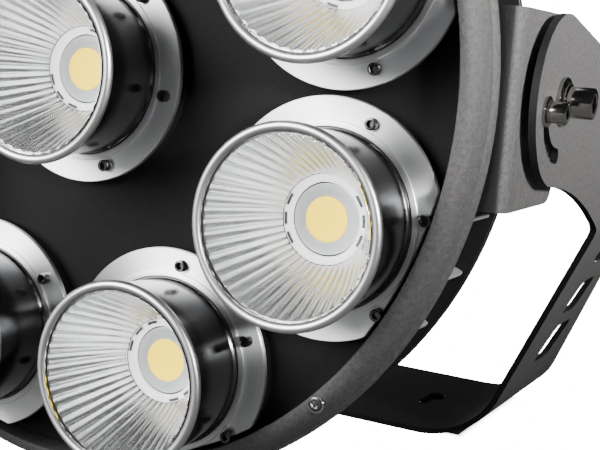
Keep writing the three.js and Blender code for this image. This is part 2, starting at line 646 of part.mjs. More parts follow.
function roundedWindow(index) {
  const y = PIVOT_Y + WINDOW_TOP_SETBACK + WINDOW_PITCH_SETBACK * index;
  const z = PIVOT_HEIGHT - WINDOW_TOP_DROP - WINDOW_PITCH_DROP * index;
  const growth = WINDOW_GROWTH * index;
  const [a, b, c] = [(WINDOW_LENGTH + growth) / 2, (WINDOW_HEIGHT + growth) / 2, WINDOW_CORNER];
  const outline = new THREE.Shape();
  outline.moveTo(y - a + c, z - b);
  outline.lineTo(y + a - c, z - b);
  outline.quadraticCurveTo(y + a, z - b, y + a, z - b + c);
  outline.lineTo(y + a, z + b - c);
  outline.quadraticCurveTo(y + a, z + b, y + a - c, z + b);
  outline.lineTo(y - a + c, z + b);
  outline.quadraticCurveTo(y - a, z + b, y - a, z + b - c);
  outline.lineTo(y - a, z - b + c);
  outline.quadraticCurveTo(y - a, z - b, y - a + c, z - b);
  return outline;
}

// Arc slot about the tilt axis. Ahead is -Y, so angles are turned over.
function arcSlot() {
  const outline = new THREE.Shape();
  const place = (radius, degrees) => {
    const [ahead, up] = polar(radius, degrees);
    return [PIVOT_Y - ahead, PIVOT_HEIGHT + up];
  };
  const endCap = (degrees, from) => {
    const [y, z] = place(SLOT_RADIUS, degrees);
    return Array.from({ length: CAP_STEPS + 1 }, (_, i) => {
      const [ahead, up] = polar(SLOT_HALF_WIDTH, from + (180 * i) / CAP_STEPS);
      return [y - ahead, z + up];
    });
  };
  const sweep = (radius, from, to) =>
    Array.from({ length: SLOT_STEPS - 1 }, (_, i) =>
      place(radius, from + ((to - from) * (i + 1)) / SLOT_STEPS));
  const points = [
    ...endCap(SLOT_TOP_ANGLE, SLOT_TOP_ANGLE),
    ...sweep(SLOT_RADIUS - SLOT_HALF_WIDTH, SLOT_TOP_ANGLE, SLOT_BOTTOM_ANGLE),
    ...endCap(SLOT_BOTTOM_ANGLE, SLOT_BOTTOM_ANGLE - 180),
    ...sweep(SLOT_RADIUS + SLOT_HALF_WIDTH, SLOT_BOTTOM_ANGLE, SLOT_TOP_ANGLE),
  ];
  outline.setFromPoints(points.map(([y, z]) => new THREE.Vector2(y, z)));
  return outline;
}

function yoke() {
  const [front, rear] = [PIVOT_Y, PIVOT_Y + BASE_REAR_SETBACK];
  const section = new THREE.Shape(stripSection().map(([x, z]) => new THREE.Vector2(x, z)));
  const reach = rear - front + CHEEK_RADIUS + 2 * CUT_OVERRUN;
  const strip = new THREE.ExtrudeGeometry(section, { depth: reach, bevelEnabled: false });
  strip.rotateX(Math.PI / 2).translate(0, rear + CUT_OVERRUN, 0);
  const span = CHEEK_FACE + CUT_OVERRUN;
  let body = solid(strip).intersect(slab(sideOutline(), -span, span, CHEEK_STEPS));
  const cuts = [slab(arcSlot(), -span, span)];
  cuts.push(pin(PIVOT_SHANK_RADIUS + SLIDE_GAP, -span, span, BOLT_FACETS, PIVOT_Y, PIVOT_HEIGHT));
  for (let i = 0; i < WINDOW_COUNT; i++) cuts.push(slab(roundedWindow(i), -span, span, WINDOW_STEPS));
  for (const side of [-1, 1]) {
    const x = (side * BASE_HOLE_SPACING) / 2;
    const [r, half] = [BASE_HOLE_RADIUS, BASE_SLOT_HALF_LENGTH];
    const [bottom, top] = [-CUT_OVERRUN, YOKE_SHEET + CUT_OVERRUN];
    const ends = [-half, half].map((y) => disc(r, bottom, top, SLOT_END_FACETS, x, y));
    cuts.push(join([...ends, box([x - r, -half, bottom], [x + r, half, top])]));
  }
  for (const cut of cuts) body = body.subtract(cut);
  return body;
}

// Assembly

// Looks: colour, roughness and metalness
const POWDER_COAT = [0x77777a, 0.6, 0.2];
const SATIN_BLACK = [0x2b2a2b, 0.55, 0.2];
const CAST_BLACK = [0x333335, 0.6, 0.3];
const SATIN_SILVER = [0xc9cacc, 0.35, 0.9];
const SMOKED_METAL = [0x3a3a3d, 0.2, 0.9];
const REFLECTOR_SILVER = [0xdfe1e4, 0.15, 1];
const EMITTER_YELLOW = [0xf5dc78, 0.5, 0];
const CLEAR_GLASS = [0xeef4f6, 0.05, 0];
const STAINLESS = [0xb3b1ad, 0.3, 0.9];
const BLACK_PLASTIC = [0x1c1d20, 0.6, 0];

addMesh(parts, "yoke", yoke(), POWDER_COAT);

const head = new THREE.Group();
head.position.set(0, PIVOT_Y - PIVOT_DEPTH, PIVOT_HEIGHT - PIVOT_RISE);
head.rotation.x = Math.PI / 2;
parts.add(head);

addMesh(head, "front_ring", frontRing(), POWDER_COAT);
addMesh(head, "face_plate", facePlate(), SATIN_BLACK);
addMesh(head, "heat_sink", heatSink(), CAST_BLACK);
addMesh(head, "driver_housing", driverHousing(), POWDER_COAT);
addMesh(head, "driver_lid", driverLid(), POWDER_COAT);
addMesh(head, "cable_gland", cableGland(), BLACK_PLASTIC);

const [lockY, lockZ] = lockPlace();
const rightPieces = {
  ear: [ear(), POWDER_COAT],
  pivot_bolt: [clampBolt(PIVOT_BOLT, PIVOT_RISE, -PIVOT_DEPTH), STAINLESS],
  lock_bolt: [clampBolt(LOCK_BOLT, lockY, lockZ), STAINLESS],
  pivot_spacer: [spacer(), BLACK_PLASTIC],
};
for (const [name, [shape, look]] of Object.entries(rightPieces)) {
  addMesh(head, `${name}_right`, shape, look);
  addMesh(head, `${name}_left`, mirrorX(shape), look);
}

modulePlaces.forEach(([x, y], i) => {
  const module = new THREE.Group();
  module.position.set(x, y, 0);
  head.add(module);
  const turn = i === 0 ? CENTRE_TURN : (360 / RING_MODULES) * (i - 0.5);
  addMesh(module, `flange_${i + 1}`, flange(turn, [x, y]), SATIN_SILVER);
  addMesh(module, `cup_${i + 1}`, cup(), SMOKED_METAL);
  addMesh(module, `reflector_${i + 1}`, reflector(), REFLECTOR_SILVER);
  addMesh(module, `light_source_${i + 1}`, lightSource(), EMITTER_YELLOW);
  addMesh(module, `cover_glass_${i + 1}`, coverGlass(), CLEAR_GLASS);
});

export default parts;
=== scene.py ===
"""Stadium flood light: the detailed pieces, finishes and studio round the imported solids.

Lengths in the functions are millimetres in a piece's own axes, and become metres where a piece is placed.
"""

import json
import math

import bmesh
import bpy
import numpy as np
from bpy.props import FloatProperty, FloatVectorProperty, IntProperty, PointerProperty
from mathutils import Matrix, Vector


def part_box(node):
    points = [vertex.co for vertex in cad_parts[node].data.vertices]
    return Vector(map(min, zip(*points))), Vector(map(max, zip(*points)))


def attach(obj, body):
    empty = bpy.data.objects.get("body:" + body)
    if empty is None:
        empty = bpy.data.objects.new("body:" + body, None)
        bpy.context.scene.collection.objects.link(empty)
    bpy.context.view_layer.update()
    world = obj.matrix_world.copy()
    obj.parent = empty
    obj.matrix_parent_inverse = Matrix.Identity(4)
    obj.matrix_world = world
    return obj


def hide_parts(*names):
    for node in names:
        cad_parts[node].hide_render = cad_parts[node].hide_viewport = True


bl_info = {
    "name": "Stadium flood light",
    "version": (1, 0, 0),
    "blender": (4, 5, 0),
    "location": "3D View > Sidebar > Flood light",
    "description": "Builds a round flood light with fluted cups in a bent yoke",
    "category": "Add Mesh",
}

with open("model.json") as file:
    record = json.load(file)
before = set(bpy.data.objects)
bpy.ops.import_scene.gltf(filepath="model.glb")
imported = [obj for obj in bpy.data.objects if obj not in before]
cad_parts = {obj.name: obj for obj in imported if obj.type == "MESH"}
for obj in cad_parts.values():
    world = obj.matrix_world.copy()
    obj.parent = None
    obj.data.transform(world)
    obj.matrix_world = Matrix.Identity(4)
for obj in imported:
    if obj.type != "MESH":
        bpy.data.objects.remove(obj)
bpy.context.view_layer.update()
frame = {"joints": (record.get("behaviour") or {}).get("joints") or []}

MM = 0.001
TURN = 2 * math.pi
MODULES = range(1, 10)
FLANGE_THICKNESS = 4.0

# Axes: each row is where a piece's own x, y and z point in the row frame
HEAD_AXES = ((1, 0, 0), (0, 0, 1), (0, -1, 0))
UP_AXES = ((1, 0, 0), (0, 1, 0), (0, 0, 1))

# Places read from the frame, in metres
PIVOT = Vector(frame["joints"][0]["pos_m"])
RING_LOW, RING_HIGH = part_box("front_ring")
SEAT_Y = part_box("face_plate")[0].y - FLANGE_THICKNESS * MM
LAMP_CENTRE = Vector((0, SEAT_Y, (RING_LOW.z + RING_HIGH.z) / 2))


def node_centre(name):
    """Middle of a solid seen from the front, on the plane of the flanges' faces, in metres."""
    low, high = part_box(name)
    return Vector(((low.x + high.x) / 2, SEAT_Y, (low.z + high.z) / 2))


# Outlines


def rounded(points, cut, steps=6):
    """Closed outline with softened corners: each corner P becomes the curve (1-t)^2 A + 2t(1-t) P + t^2 B,
    where A and B lie on the two sides of the corner, cut away from it by at most 0.48 of a side."""
    corners = np.asarray(points, float)
    cut = np.broadcast_to(np.asarray(cut, float), len(corners))[:, None]
    ends = []
    for side in (np.roll(corners, 1, 0) - corners, np.roll(corners, -1, 0) - corners):
        length = np.linalg.norm(side, axis=1, keepdims=True)
        ends.append(corners + side / length * np.minimum(cut, 0.48 * length))
    return curve(ends[0][:, None], corners[:, None], ends[1][:, None], steps).reshape(-1, 2)


def curve(start, middle, end, steps):
    """Quadratic curve (1-t)^2 A + 2t(1-t) P + t^2 B, with t going evenly from 0 to 1."""
    t = np.linspace(0, 1, steps)[:, None]
    return (1 - t) ** 2 * start + 2 * t * (1 - t) * middle + t**2 * end


def rectangle(x_start, x_end, y_start, y_end):
    return [(x_start, y_start), (x_end, y_start), (x_end, y_end), (x_start, y_end)]


def arc(centre, radius, start, end, steps):
    """Points at centre + radius (cos a, sin a), with a going evenly from start to end, in degrees."""
    a = np.radians(np.linspace(start, end, steps))
    return np.asarray(centre, float) + radius * np.stack([np.cos(a), np.sin(a)], 1)


def inset(outline, distance):
    """Closed outline moved inwards: each point goes along the mean normal of its two sides."""
    along = np.roll(outline, -1, 0) - np.roll(outline, 1, 0)
    along /= np.linalg.norm(along, axis=1, keepdims=True)
    normal = np.stack([-along[:, 1], along[:, 0]], 1)
    x, y = outline.T
    area = np.sum(x * np.roll(y, -1) - np.roll(x, -1) * y)
    return outline + normal * distance * np.sign(area)


# Surfaces, as arrays of points on a grid of two parameters


def turned(profile, segments, start=0.0, sweep=TURN):
    """Profile of [radius, height] turned about z: (r cos a, r sin a, h), a grid of angle by profile point."""
    r, h = np.asarray(profile, float).T
    a = (start + np.linspace(0, sweep, segments, endpoint=sweep < TURN))[:, None]
    return np.stack([np.cos(a) * r, np.sin(a) * r, np.broadcast_to(h, (segments, len(h)))], 2)


def stacked(a, rows):
    """Rows about z: (r cos a, r sin a, h). Each row has a height and one radius, or one for each angle."""
    return np.stack([np.stack([r * np.cos(a), r * np.sin(a), np.full(len(a), h)], 1) for r, h in rows], 1)


def band(inner, outer, low, high, corner, segments, steps=4):
    """Ring of rectangular section with rounded corners."""
    return turned(rounded(rectangle(inner, outer, low, high), corner, steps), segments)


def full_turn(segments):
    return np.linspace(0, TURN, segments, endpoint=False)


def closed_ends(grid):
    """Grid whose first and last rows shrink to a point, so that a part turn has closed ends."""
    first, last = (np.broadcast_to(row.mean(0), row.shape)[None] for row in (grid[0], grid[-1]))
    return np.concatenate([first, grid, last])


def slab(outline, thickness, edge):
    """Plate with softened rims over an outline: rows at the middle of one face, its rim, the sides,
    the other rim and the middle of the other face."""
    half = thickness / 2
    inner = inset(outline, edge)
    middle = np.broadcast_to(outline.mean(0), outline.shape)
    rows = [(middle, -half), (inner, -half), (outline, edge - half),
            (outline, half - edge), (inner, half), (middle, half)]
    return np.stack([np.column_stack([xy, np.full(len(xy), z)]) for xy, z in rows], 1)


def hexagon_radius(angle, flat_radius):
    """Radius of a hexagon at an angle: flat_radius / cos(angle from the nearest flat's middle)."""
    sector = TURN / 6
    return flat_radius / np.cos(np.mod(angle, sector) - sector / 2)


def socket_screw(radius, height, socket, depth, foot=0.0, segments=36):
    """Cap screw about z: rows of circles up the head and over its chamfer, then rows that follow
    the hexagon down its socket, closed at the middle."""
    a = full_turn(segments)
    six, edge = hexagon_radius(a, 1.0), 0.12 * radius
    return stacked(a, [
        (0, foot), (radius, foot), (radius, height - edge), (radius - 0.3 * edge, height - 0.3 * edge),
        (radius - edge, height), ((socket + edge / 2) * six, height), (socket * six, height - edge / 2),
        (socket * six, height - depth), (0, height - depth)])


def moved(grid, x=0.0, y=0.0, z=0.0, turn=0.0):
    """Grid turned about z by an angle and then shifted."""
    c, s = math.cos(turn), math.sin(turn)
    return grid @ np.array([[c, s, 0], [-s, c, 0], [0, 0, 1]]) + np.array([x, y, z])


def on_circle(radius, count, start=0.0):
    """Places evenly round a circle: x, y and the angle."""
    angles = start + np.arange(count) * TURN / count
    return [(radius * math.cos(t), radius * math.sin(t), t) for t in angles]


# Meshes


def grid_arrays(grid, wrap_u, wrap_v):
    """Vertices, quads and texture places of one grid: u is the share of the turn, v the metres along."""
    n, m = grid.shape[:2]
    i, j = np.meshgrid(np.arange(n if wrap_u else n - 1), np.arange(m if wrap_v else m - 1), indexing="ij")
    corners_i = np.stack([i, i + 1, i + 1, i], -1).reshape(-1, 4)
    corners_j = np.stack([j, j, j + 1, j + 1], -1).reshape(-1, 4)
    faces = (corners_i % n) * m + corners_j % m
    middle = grid[n // 2]
    steps = np.linalg.norm(np.diff(np.vstack([middle, middle[:1]]), axis=0), axis=1)
    along = np.concatenate([[0], np.cumsum(steps)]) * MM
    uv = np.stack([corners_i / n, along[corners_j]], -1)
    return grid.reshape(-1, 3), faces, uv.reshape(-1, 2)


def placed_mesh(name, vertices, faces, axes, origin):
    """Mesh whose points lie at origin + 0.001 (own place . axes), in the row frame."""
    mesh = bpy.data.meshes.new(name)
    mesh.from_pydata(np.asarray(origin, float) + MM * (vertices @ np.asarray(axes, float)), [], faces)
    return mesh


def mesh_of_grids(name, grids, origin, axes, wrap_u=True, wrap_v=True):
    """One mesh from several grids, with its surface map."""
    vertices, faces, texture, count = [], [], [], 0
    for grid in grids:
        v, f, t = grid_arrays(grid, wrap_u, wrap_v)
        vertices.append(v)
        faces.append(f + count)
        texture.append(t)
        count += len(v)
    mesh = placed_mesh(name, np.vstack(vertices), np.vstack(faces).tolist(), axes, origin)
    layer = mesh.uv_layers.new(name="surface")
    layer.data.foreach_set("uv", np.vstack(texture).astype(np.float32).ravel())
    return welded(mesh)


def mesh_of_prism(outline, low, high, axes, origin=(0, 0, 0)):
    """Straight prism over an outline, from low to high along its own z."""
    n = len(outline)
    vertices = np.vstack([np.column_stack([outline, np.full(n, z)]) for z in (low, high)])
    i = np.arange(n)
    sides = np.stack([i, (i + 1) % n, (i + 1) % n + n, i + n], 1).tolist()
    return welded(placed_mesh("prism", vertices, [i[::-1].tolist(), (i + n).tolist(), *sides], axes, origin))


def welded(mesh):
    """Merges equal vertices, drops faces with no area and turns every face outwards."""
    bm = bmesh.new()
    bm.from_mesh(mesh)
    bmesh.ops.remove_doubles(bm, verts=bm.verts, dist=1e-6)
    bmesh.ops.dissolve_degenerate(bm, edges=bm.edges, dist=1e-7)
    bmesh.ops.recalc_face_normals(bm, faces=bm.faces)
    bm.to_mesh(mesh)
    bm.free()
    return mesh


def new_object(name, mesh):
    piece = bpy.data.objects.new(name, mesh)
    bpy.context.scene.collection.objects.link(piece)
    return piece


def combined(piece, operation, tool_mesh):
    """Joins, cuts or crosses a piece with a tool mesh, and keeps only the result."""
    tool = new_object("tool", tool_mesh)
    step = piece.modifiers.new("shape", "BOOLEAN")
    step.object, step.operation, step.solver = tool, operation, "EXACT"
    whole = piece.evaluated_get(bpy.context.evaluated_depsgraph_get())
    result = bpy.data.meshes.new_from_object(whole)
    piece.modifiers.clear()
    piece.data = result
    bpy.data.objects.remove(tool)


def finished(piece, look, body, nodes=(), smooth=30, bevel=0.0):
    """Smooths a piece, softens its edges, gives it its finish and lets it ride on its body."""
    mesh = piece.data
    mesh.materials.clear()
    mesh.materials.append(finish(look))
    mesh.polygons.foreach_set("use_smooth", np.ones(len(mesh.polygons), bool))
    mesh.set_sharp_from_angle(angle=math.radians(smooth))
    if bevel:
        edge = piece.modifiers.new("edge", "BEVEL")
        edge.width, edge.segments, edge.limit_method = bevel, 2, "ANGLE"
        edge.angle_limit, edge.harden_normals = math.radians(35), True
    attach(piece, body)
    if nodes:
        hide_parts(*nodes)


def add(name, grids, look, origin=LAMP_CENTRE, axes=HEAD_AXES, nodes=(), smooth=30, **wraps):
    """Piece of the head from its grids."""
    mesh = mesh_of_grids(name, grids, origin, axes, **wraps)
    finished(new_object(name, mesh), look, "head", nodes, smooth)


def add_to_module(number, name, grids, look, solid="", **options):
    """Piece of one module, which may stand in for one of the module's solids."""
    nodes = [f"{solid}_{number}"] if solid else ()
    add(f"{name}_{number}", grids, look, node_centre(f"cup_{number}"), nodes=nodes, **options)


# Shader nodes and groups, shared by the finishes


def rgb(colour):
    return (*colour, 1.0)


def scaled(colour, factor):
    return [c * factor for c in colour]


def feed(tree, target, values):
    """Puts numbers or links into a node's input sockets."""
    for key, value in values.items():
        if isinstance(value, bpy.types.NodeSocket):
            tree.links.new(value, target.inputs[key])
        else:
            target.inputs[key].default_value = value


def node(tree, kind, values=None, **settings):
    """New shader node of a kind, with its settings and inputs."""
    made = tree.nodes.new("ShaderNode" + kind)
    for key, value in settings.items():
        setattr(made, key, value)
    feed(tree, made, values or {})
    return made


def calc(tree, operation, *values, **settings):
    """Result of a sum on numbers or links."""
    return node(tree, "Math", dict(enumerate(values)), operation=operation, **settings).outputs[0]


def ramp(tree, value, low, high, top=1.0, kind="LINEAR"):
    """Value carried from the range low to high onto the range 0 to top."""
    values = {"Value": value, "From Min": low, "From Max": high, "To Max": top}
    return node(tree, "MapRange", values, interpolation_type=kind).outputs[0]


def blended(tree, mask, first, second):
    """Colour that goes from the first to the second with a mask. Each is a colour or a link."""
    first, second = (c if isinstance(c, bpy.types.NodeSocket) else rgb(c) for c in (first, second))
    return node(tree, "Mix", {"Factor": mask, 6: first, 7: second}, data_type="RGBA").outputs[2]


def bumped(tree, height, distance):
    return node(tree, "Bump", {"Strength": 1.0, "Distance": distance, "Height": height}).outputs[0]


def object_place(tree):
    return node(tree, "TexCoord").outputs["Object"]


def surface_place(tree):
    """The surface map's two numbers: share of the way round, and length along in metres."""
    surface = node(tree, "UVMap", uv_map="surface").outputs[0]
    return node(tree, "SeparateXYZ", {0: surface}).outputs[:2]


def grain_group(group, given):
    """Fine grain: two noises on Object coordinates give a mask from 0 to 1 and a bumped normal."""
    place = object_place(group)
    fine = node(group, "TexNoise", {"Vector": place, "Scale": given["Scale"], "Detail": 3.0})
    coarse_scale = calc(group, "MULTIPLY", given["Scale"], 0.31)
    coarse = node(group, "TexNoise", {"Vector": place, "Scale": coarse_scale, "Detail": 2.0})
    both = calc(group, "MULTIPLY", fine.outputs["Fac"], coarse.outputs["Fac"])
    mask = ramp(group, both, 0.12, 0.38)
    return {"Mask": mask, "Normal": bumped(group, mask, given["Depth"])}


def marks_group(group, given):
    """Handling marks: a broad noise on Object coordinates gives a soft mask."""
    noise = node(group, "TexNoise", {
        "Vector": object_place(group), "Scale": given["Scale"], "Detail": 4.0, "Distortion": 0.4})
    centred = calc(group, "SUBTRACT", noise.outputs["Fac"], 0.5)
    return {"Value": calc(group, "MULTIPLY", centred, given["Amount"])}


def lathe_group(group, given):
    """Lathe lines: noise stretched round the piece, from its surface map, gives a mask and a normal."""
    around, along = surface_place(group)
    across = calc(group, "MULTIPLY", along, given["Lines"])
    place = node(group, "CombineXYZ", {0: calc(group, "MULTIPLY", around, 3.0), 1: across})
    noise = node(group, "TexNoise", {"Vector": place.outputs[0], "Scale": 1.0, "Detail": 2.0})
    return {"Mask": noise.outputs["Fac"], "Normal": bumped(group, noise.outputs["Fac"], given["Depth"])}


# Group: what builds it, its inputs with their defaults, and its outputs
GROUPS = {
    "Fine grain": (grain_group, {"Scale": 900.0, "Depth": 0.0001}, ("Mask", "Normal")),
    "Soft marks": (marks_group, {"Scale": 14.0, "Amount": 0.1}, ("Value",)),
    "Lathe lines": (lathe_group, {"Lines": 3000.0, "Depth": 0.00002}, ("Mask", "Normal")),
}


def use_group(tree, name, **values):
    """Places a shader group, which is built the first time, and gives its outputs."""
    if name not in bpy.data.node_groups:
        build, inputs, outputs = GROUPS[name]
        group = bpy.data.node_groups.new(name, "ShaderNodeTree")
        for label, value in inputs.items():
            made = group.interface.new_socket(label, in_out="INPUT", socket_type="NodeSocketFloat")
            made.default_value = value
        for label in outputs:
            kind = "NodeSocketVector" if label == "Normal" else "NodeSocketFloat"
            group.interface.new_socket(label, in_out="OUTPUT", socket_type=kind)
        given = group.nodes.new("NodeGroupInput").outputs
        feed(group, group.nodes.new("NodeGroupOutput"), build(group, given))
    return node(tree, "Group", values, node_tree=bpy.data.node_groups[name]).outputs


# Finishes


def new_finish(name, colour, roughness, metallic, **constants):
    """Material with one Principled shader: its plain values are set on the shader's own sockets."""
    material = bpy.data.materials.new(name)
    material.use_nodes = True
    shader = material.node_tree.nodes["Principled BSDF"]
    feed(material.node_tree, shader, {
        "Base Color": rgb(colour), "Roughness": roughness, "Metallic": metallic, **constants})
    return material, material.node_tree, shader


def marked(tree, roughness, scale, amount):
    """Roughness that varies a little with soft marks."""
    return calc(tree, "ADD", roughness, use_group(tree, "Soft marks", Scale=scale, Amount=amount)["Value"])


def grained_finish(name, colour, roughness, metallic, scale, depth, contrast, **constants):
    """Coated or cast surface: fine grain in colour and normal, soft marks in roughness."""
    material, tree, shader = new_finish(name, colour, roughness, metallic, **constants)
    grain = use_group(tree, "Fine grain", Scale=scale, Depth=depth)
    tone = blended(tree, grain["Mask"], scaled(colour, 1 - contrast), scaled(colour, 1 + contrast))
    feed(tree, shader, {
        "Base Color": tone, "Roughness": marked(tree, roughness, 11.0, 0.16), "Normal": grain["Normal"]})
    return material


def sheet_finish(name, colour):
    """Coated bent sheet: powder coat on the cheeks and arms, with painted shade where the surface turns away
    from sideways, which is along the cut edges and over the base: a near-black colour stands in for the shade
    there. The mask is the smoothed size of normal x."""
    roughness = 0.6
    material, tree, shader = new_finish(name, colour, roughness, 0.0, **{"Specular IOR Level": 0.22})
    grain = use_group(tree, "Fine grain", Scale=1100.0, Depth=0.00016)
    normal = node(tree, "SeparateXYZ", {0: node(tree, "NewGeometry").outputs["Normal"]})
    # Painted shade: where the normal turns away from sideways, the coat gives way to a near-black colour
    sideways = ramp(tree, calc(tree, "ABSOLUTE", normal.outputs[0]), 0.25, 0.7, kind="SMOOTHSTEP")
    coat = blended(tree, grain["Mask"], scaled(colour, 0.7), scaled(colour, 1.3))
    feed(tree, shader, {
        "Base Color": blended(tree, sideways, bpy.context.scene.flood_head.painted_shade_colour, coat),
        "Roughness": marked(tree, roughness, 11.0, 0.16), "Normal": grain["Normal"]})
    return material


def turned_finish(name, colour, roughness, lines, depth, **constants):
    """Turned or spun metal: lathe lines in the normal and colour, soft marks in the roughness."""
    material, tree, shader = new_finish(name, colour, roughness, 1.0, **constants)
    lathe = use_group(tree, "Lathe lines", Lines=lines, Depth=depth)
    feed(tree, shader, {
        "Base Color": blended(tree, lathe["Mask"], scaled(colour, 0.93), scaled(colour, 1.05)),
        "Roughness": marked(tree, roughness, 22.0, 0.1), "Normal": lathe["Normal"]})
    if "Anisotropic" in constants:
        round_the_piece = node(tree, "Tangent", direction_type="UV_MAP", uv_map="surface")
        feed(tree, shader, {"Tangent": round_the_piece.outputs[0]})
    return material


def reflector_finish(name, colour):
    """Bright metallised bowl, read from the surface map: rows of small facets along each flute, with painted
    highlight on the facets' tops and on the crests between the flutes, and painted shade in the channels and
    at the facets' feet."""
    sizes, roughness = bpy.context.scene.flood_module, 0.1
    material, tree, shader = new_finish(name, colour, roughness, 1.0)
    around, along = surface_place(tree)
    wave = calc(tree, "SINE", calc(tree, "MULTIPLY", along, TURN / sizes.facet_pitch))
    cross = calc(tree, "COSINE", calc(tree, "MULTIPLY", around, TURN * sizes.flutes * 2))
    dots = calc(tree, "MULTIPLY", wave, cross)
    # Painted highlight on the crests and facet tops, painted shade in the channels: colour from 0.76 of the
    # reflector's to all of it
    crests = calc(tree, "COSINE", calc(tree, "MULTIPLY", around, TURN * sizes.flutes))
    shade = ramp(tree, dots, -1.0, 1.0, top=0.4)
    tone = calc(tree, "ADD", ramp(tree, crests, 0.75, 1.0), shade, use_clamp=True)
    feed(tree, shader, {
        "Base Color": blended(tree, tone, scaled(colour, 0.76), colour),
        "Roughness": marked(tree, roughness, 30.0, 0.12), "Normal": bumped(tree, dots, 0.00004)})
    return material


def emitter_finish(name, colour):
    """Phosphor under clear silicone: yellow with a faint grid of diodes below. It glows to the eye, also
    through its glass, and lights its reflector only faintly."""
    material, tree, shader = new_finish(name, colour, 0.4, 0.0, **{"Specular IOR Level": 0.2})
    cells = node(tree, "TexVoronoi", {"Vector": object_place(tree), "Scale": 480.0, "Randomness": 0.35})
    path = node(tree, "LightPath").outputs
    direct = calc(tree, "MAXIMUM", path["Is Camera Ray"], path["Is Transmission Ray"])
    diodes = ramp(tree, cells.outputs["Distance"], 0.0, 0.7)
    feed(tree, shader, {
        "Base Color": blended(tree, diodes, colour, scaled(colour, 0.9)),
        "Emission Color": blended(tree, direct, scaled(colour, 0.16), colour),
        "Emission Strength": bpy.context.scene.flood_module.emitter_glow})
    return material


def glass_finish(name, colour):
    """Clear tempered cover glass, with a trace of dust that changes its roughness."""
    material, tree, shader = new_finish(name, colour, 0.02, 0.0, **{"Transmission Weight": 1.0, "IOR": 1.3})
    dust = use_group(tree, "Fine grain", Scale=160.0, Depth=0.0)
    feed(tree, shader, {"Roughness": calc(tree, "MULTIPLY", dust["Mask"], 0.03)})
    return material


# Look: the colour slot, what makes it, its colour (or the setting that holds it), and the maker's numbers:
# for grained ones roughness, metallic, grain scale, grain depth and contrast, for turned ones roughness,
# lathe lines in a metre and their depth. Then the shader's own constants.
LOOKS = {
    "powder coat": ("powder_coat", grained_finish, "ring_colour", (0.6, 0.0, 1100.0, 0.00016, 0.3),
                    {"Specular IOR Level": 0.25}),
    # The yoke's coat has painted shade on its edges and over the base
    "yoke coat": ("powder_coat", sheet_finish, "coat_colour", (), {}),
    "black plate": ("plate_black", grained_finish, "plate_colour", (0.62, 0.0, 1500.0, 0.00005, 0.2),
                    {"Specular IOR Level": 0.1}),
    "cast black": ("cast_black", grained_finish, "sink_colour", (0.5, 0.3, 700.0, 0.0001, 0.2), {}),
    "fin coat": ("cast_black", grained_finish, "fin_colour", (0.6, 0.0, 900.0, 0.00008, 0.2), {}),
    "satin silver": ("flange_silver", turned_finish, "flange_colour", (0.38, 2600.0, 0.00001),
                     {"Anisotropic": 0.92, "Anisotropic Rotation": 0.25}),
    "rolled bead": ("flange_silver", turned_finish, "bead_colour", (0.38, 1600.0, 0.000006), {}),
    "smoked metal": ("cup_metal", turned_finish, "cup_colour", (0.19, 900.0, 0.000006), {}),
    "reflector metal": ("reflector_silver", reflector_finish, "reflector_colour", (), {}),
    # The holder glows white: painted light, since the holder is no lamp
    "holder": ("reflector_silver", grained_finish, (0.98, 0.98, 0.98), (0.4, 0.0, 1800.0, 0.00002, 0.04),
               {"Emission Color": (1, 1, 1, 1), "Emission Strength": 1.6}),
    "slot shade": ("black_plastic", grained_finish, (0.13, 0.13, 0.135),
                   (0.6, 0.0, 1800.0, 0.00002, 0.1), {}),
    "phosphor": ("emitter", emitter_finish, "emitter_colour", (), {}),
    "ceramic": ("emitter", grained_finish, (0.95, 0.95, 0.95), (0.45, 0.0, 2200.0, 0.00003, 0.06), {}),
    "cover glass": ("cover_glass", glass_finish, (0.97, 0.99, 0.99), (), {}),
    "black rubber": ("black_plastic", grained_finish, (0.012, 0.012, 0.013),
                     (0.6, 0.0, 2000.0, 0.00004, 0.3), {}),
    "black moulding": ("black_plastic", grained_finish, (0.016, 0.017, 0.021),
                       (0.38, 0.0, 1700.0, 0.00005, 0.25), {}),
    "stainless": ("stainless", turned_finish, (0.42, 0.41, 0.39), (0.13, 1800.0, 0.00001), {}),
    "dark steel": ("stainless", turned_finish, (0.1, 0.1, 0.1), (0.24, 1800.0, 0.00001), {}),
}
FINISHES = {}


def setting(name):
    """Value of a setting, from the group that has it."""
    groups = (bpy.context.scene.flood_module, bpy.context.scene.flood_head)
    return next(getattr(group, name) for group in groups if hasattr(group, name))


def finish(look):
    """Material of a look, made once."""
    if look not in FINISHES:
        _, make, colour, numbers, constants = LOOKS[look]
        if isinstance(colour, str):
            colour = setting(colour)
        FINISHES[look] = make(look, colour, *numbers, **constants)
    return FINISHES[look]


# Settings


class FloodLightModule(bpy.types.PropertyGroup):
    """Sizes and colours of the lens modules"""

    flutes: IntProperty(name="Flutes", description="Channels round each reflector", default=44, min=8)
    flute_depth: FloatProperty(
        name="Flute depth", description="Depth of a channel at the rim", default=1.7 * MM, unit="LENGTH")
    facet_pitch: FloatProperty(
        name="Facet pitch", description="Length of a facet along a flute", default=1.9 * MM, unit="LENGTH")
    emitter_glow: FloatProperty(
        name="Emitter glow", description="Light given off by the phosphor", default=2.6, min=0)
    flange_colour: FloatVectorProperty(
        name="Flange", description="Colour of the flanges", subtype="COLOR", default=(0.74, 0.75, 0.76))
    cup_colour: FloatVectorProperty(
        name="Cup", description="Colour of the cups' walls", subtype="COLOR", default=(0.12, 0.12, 0.122))
    bead_colour: FloatVectorProperty(
        name="Bead", description="Colour of the rolled rims", subtype="COLOR", default=(0.58, 0.58, 0.58))
    reflector_colour: FloatVectorProperty(
        name="Reflector", description="Colour of the reflectors", subtype="COLOR", default=(0.95, 0.95, 0.95))
    emitter_colour: FloatVectorProperty(
        name="Emitter", description="Colour of the phosphor", subtype="COLOR", default=(1.0, 0.67, 0.0))


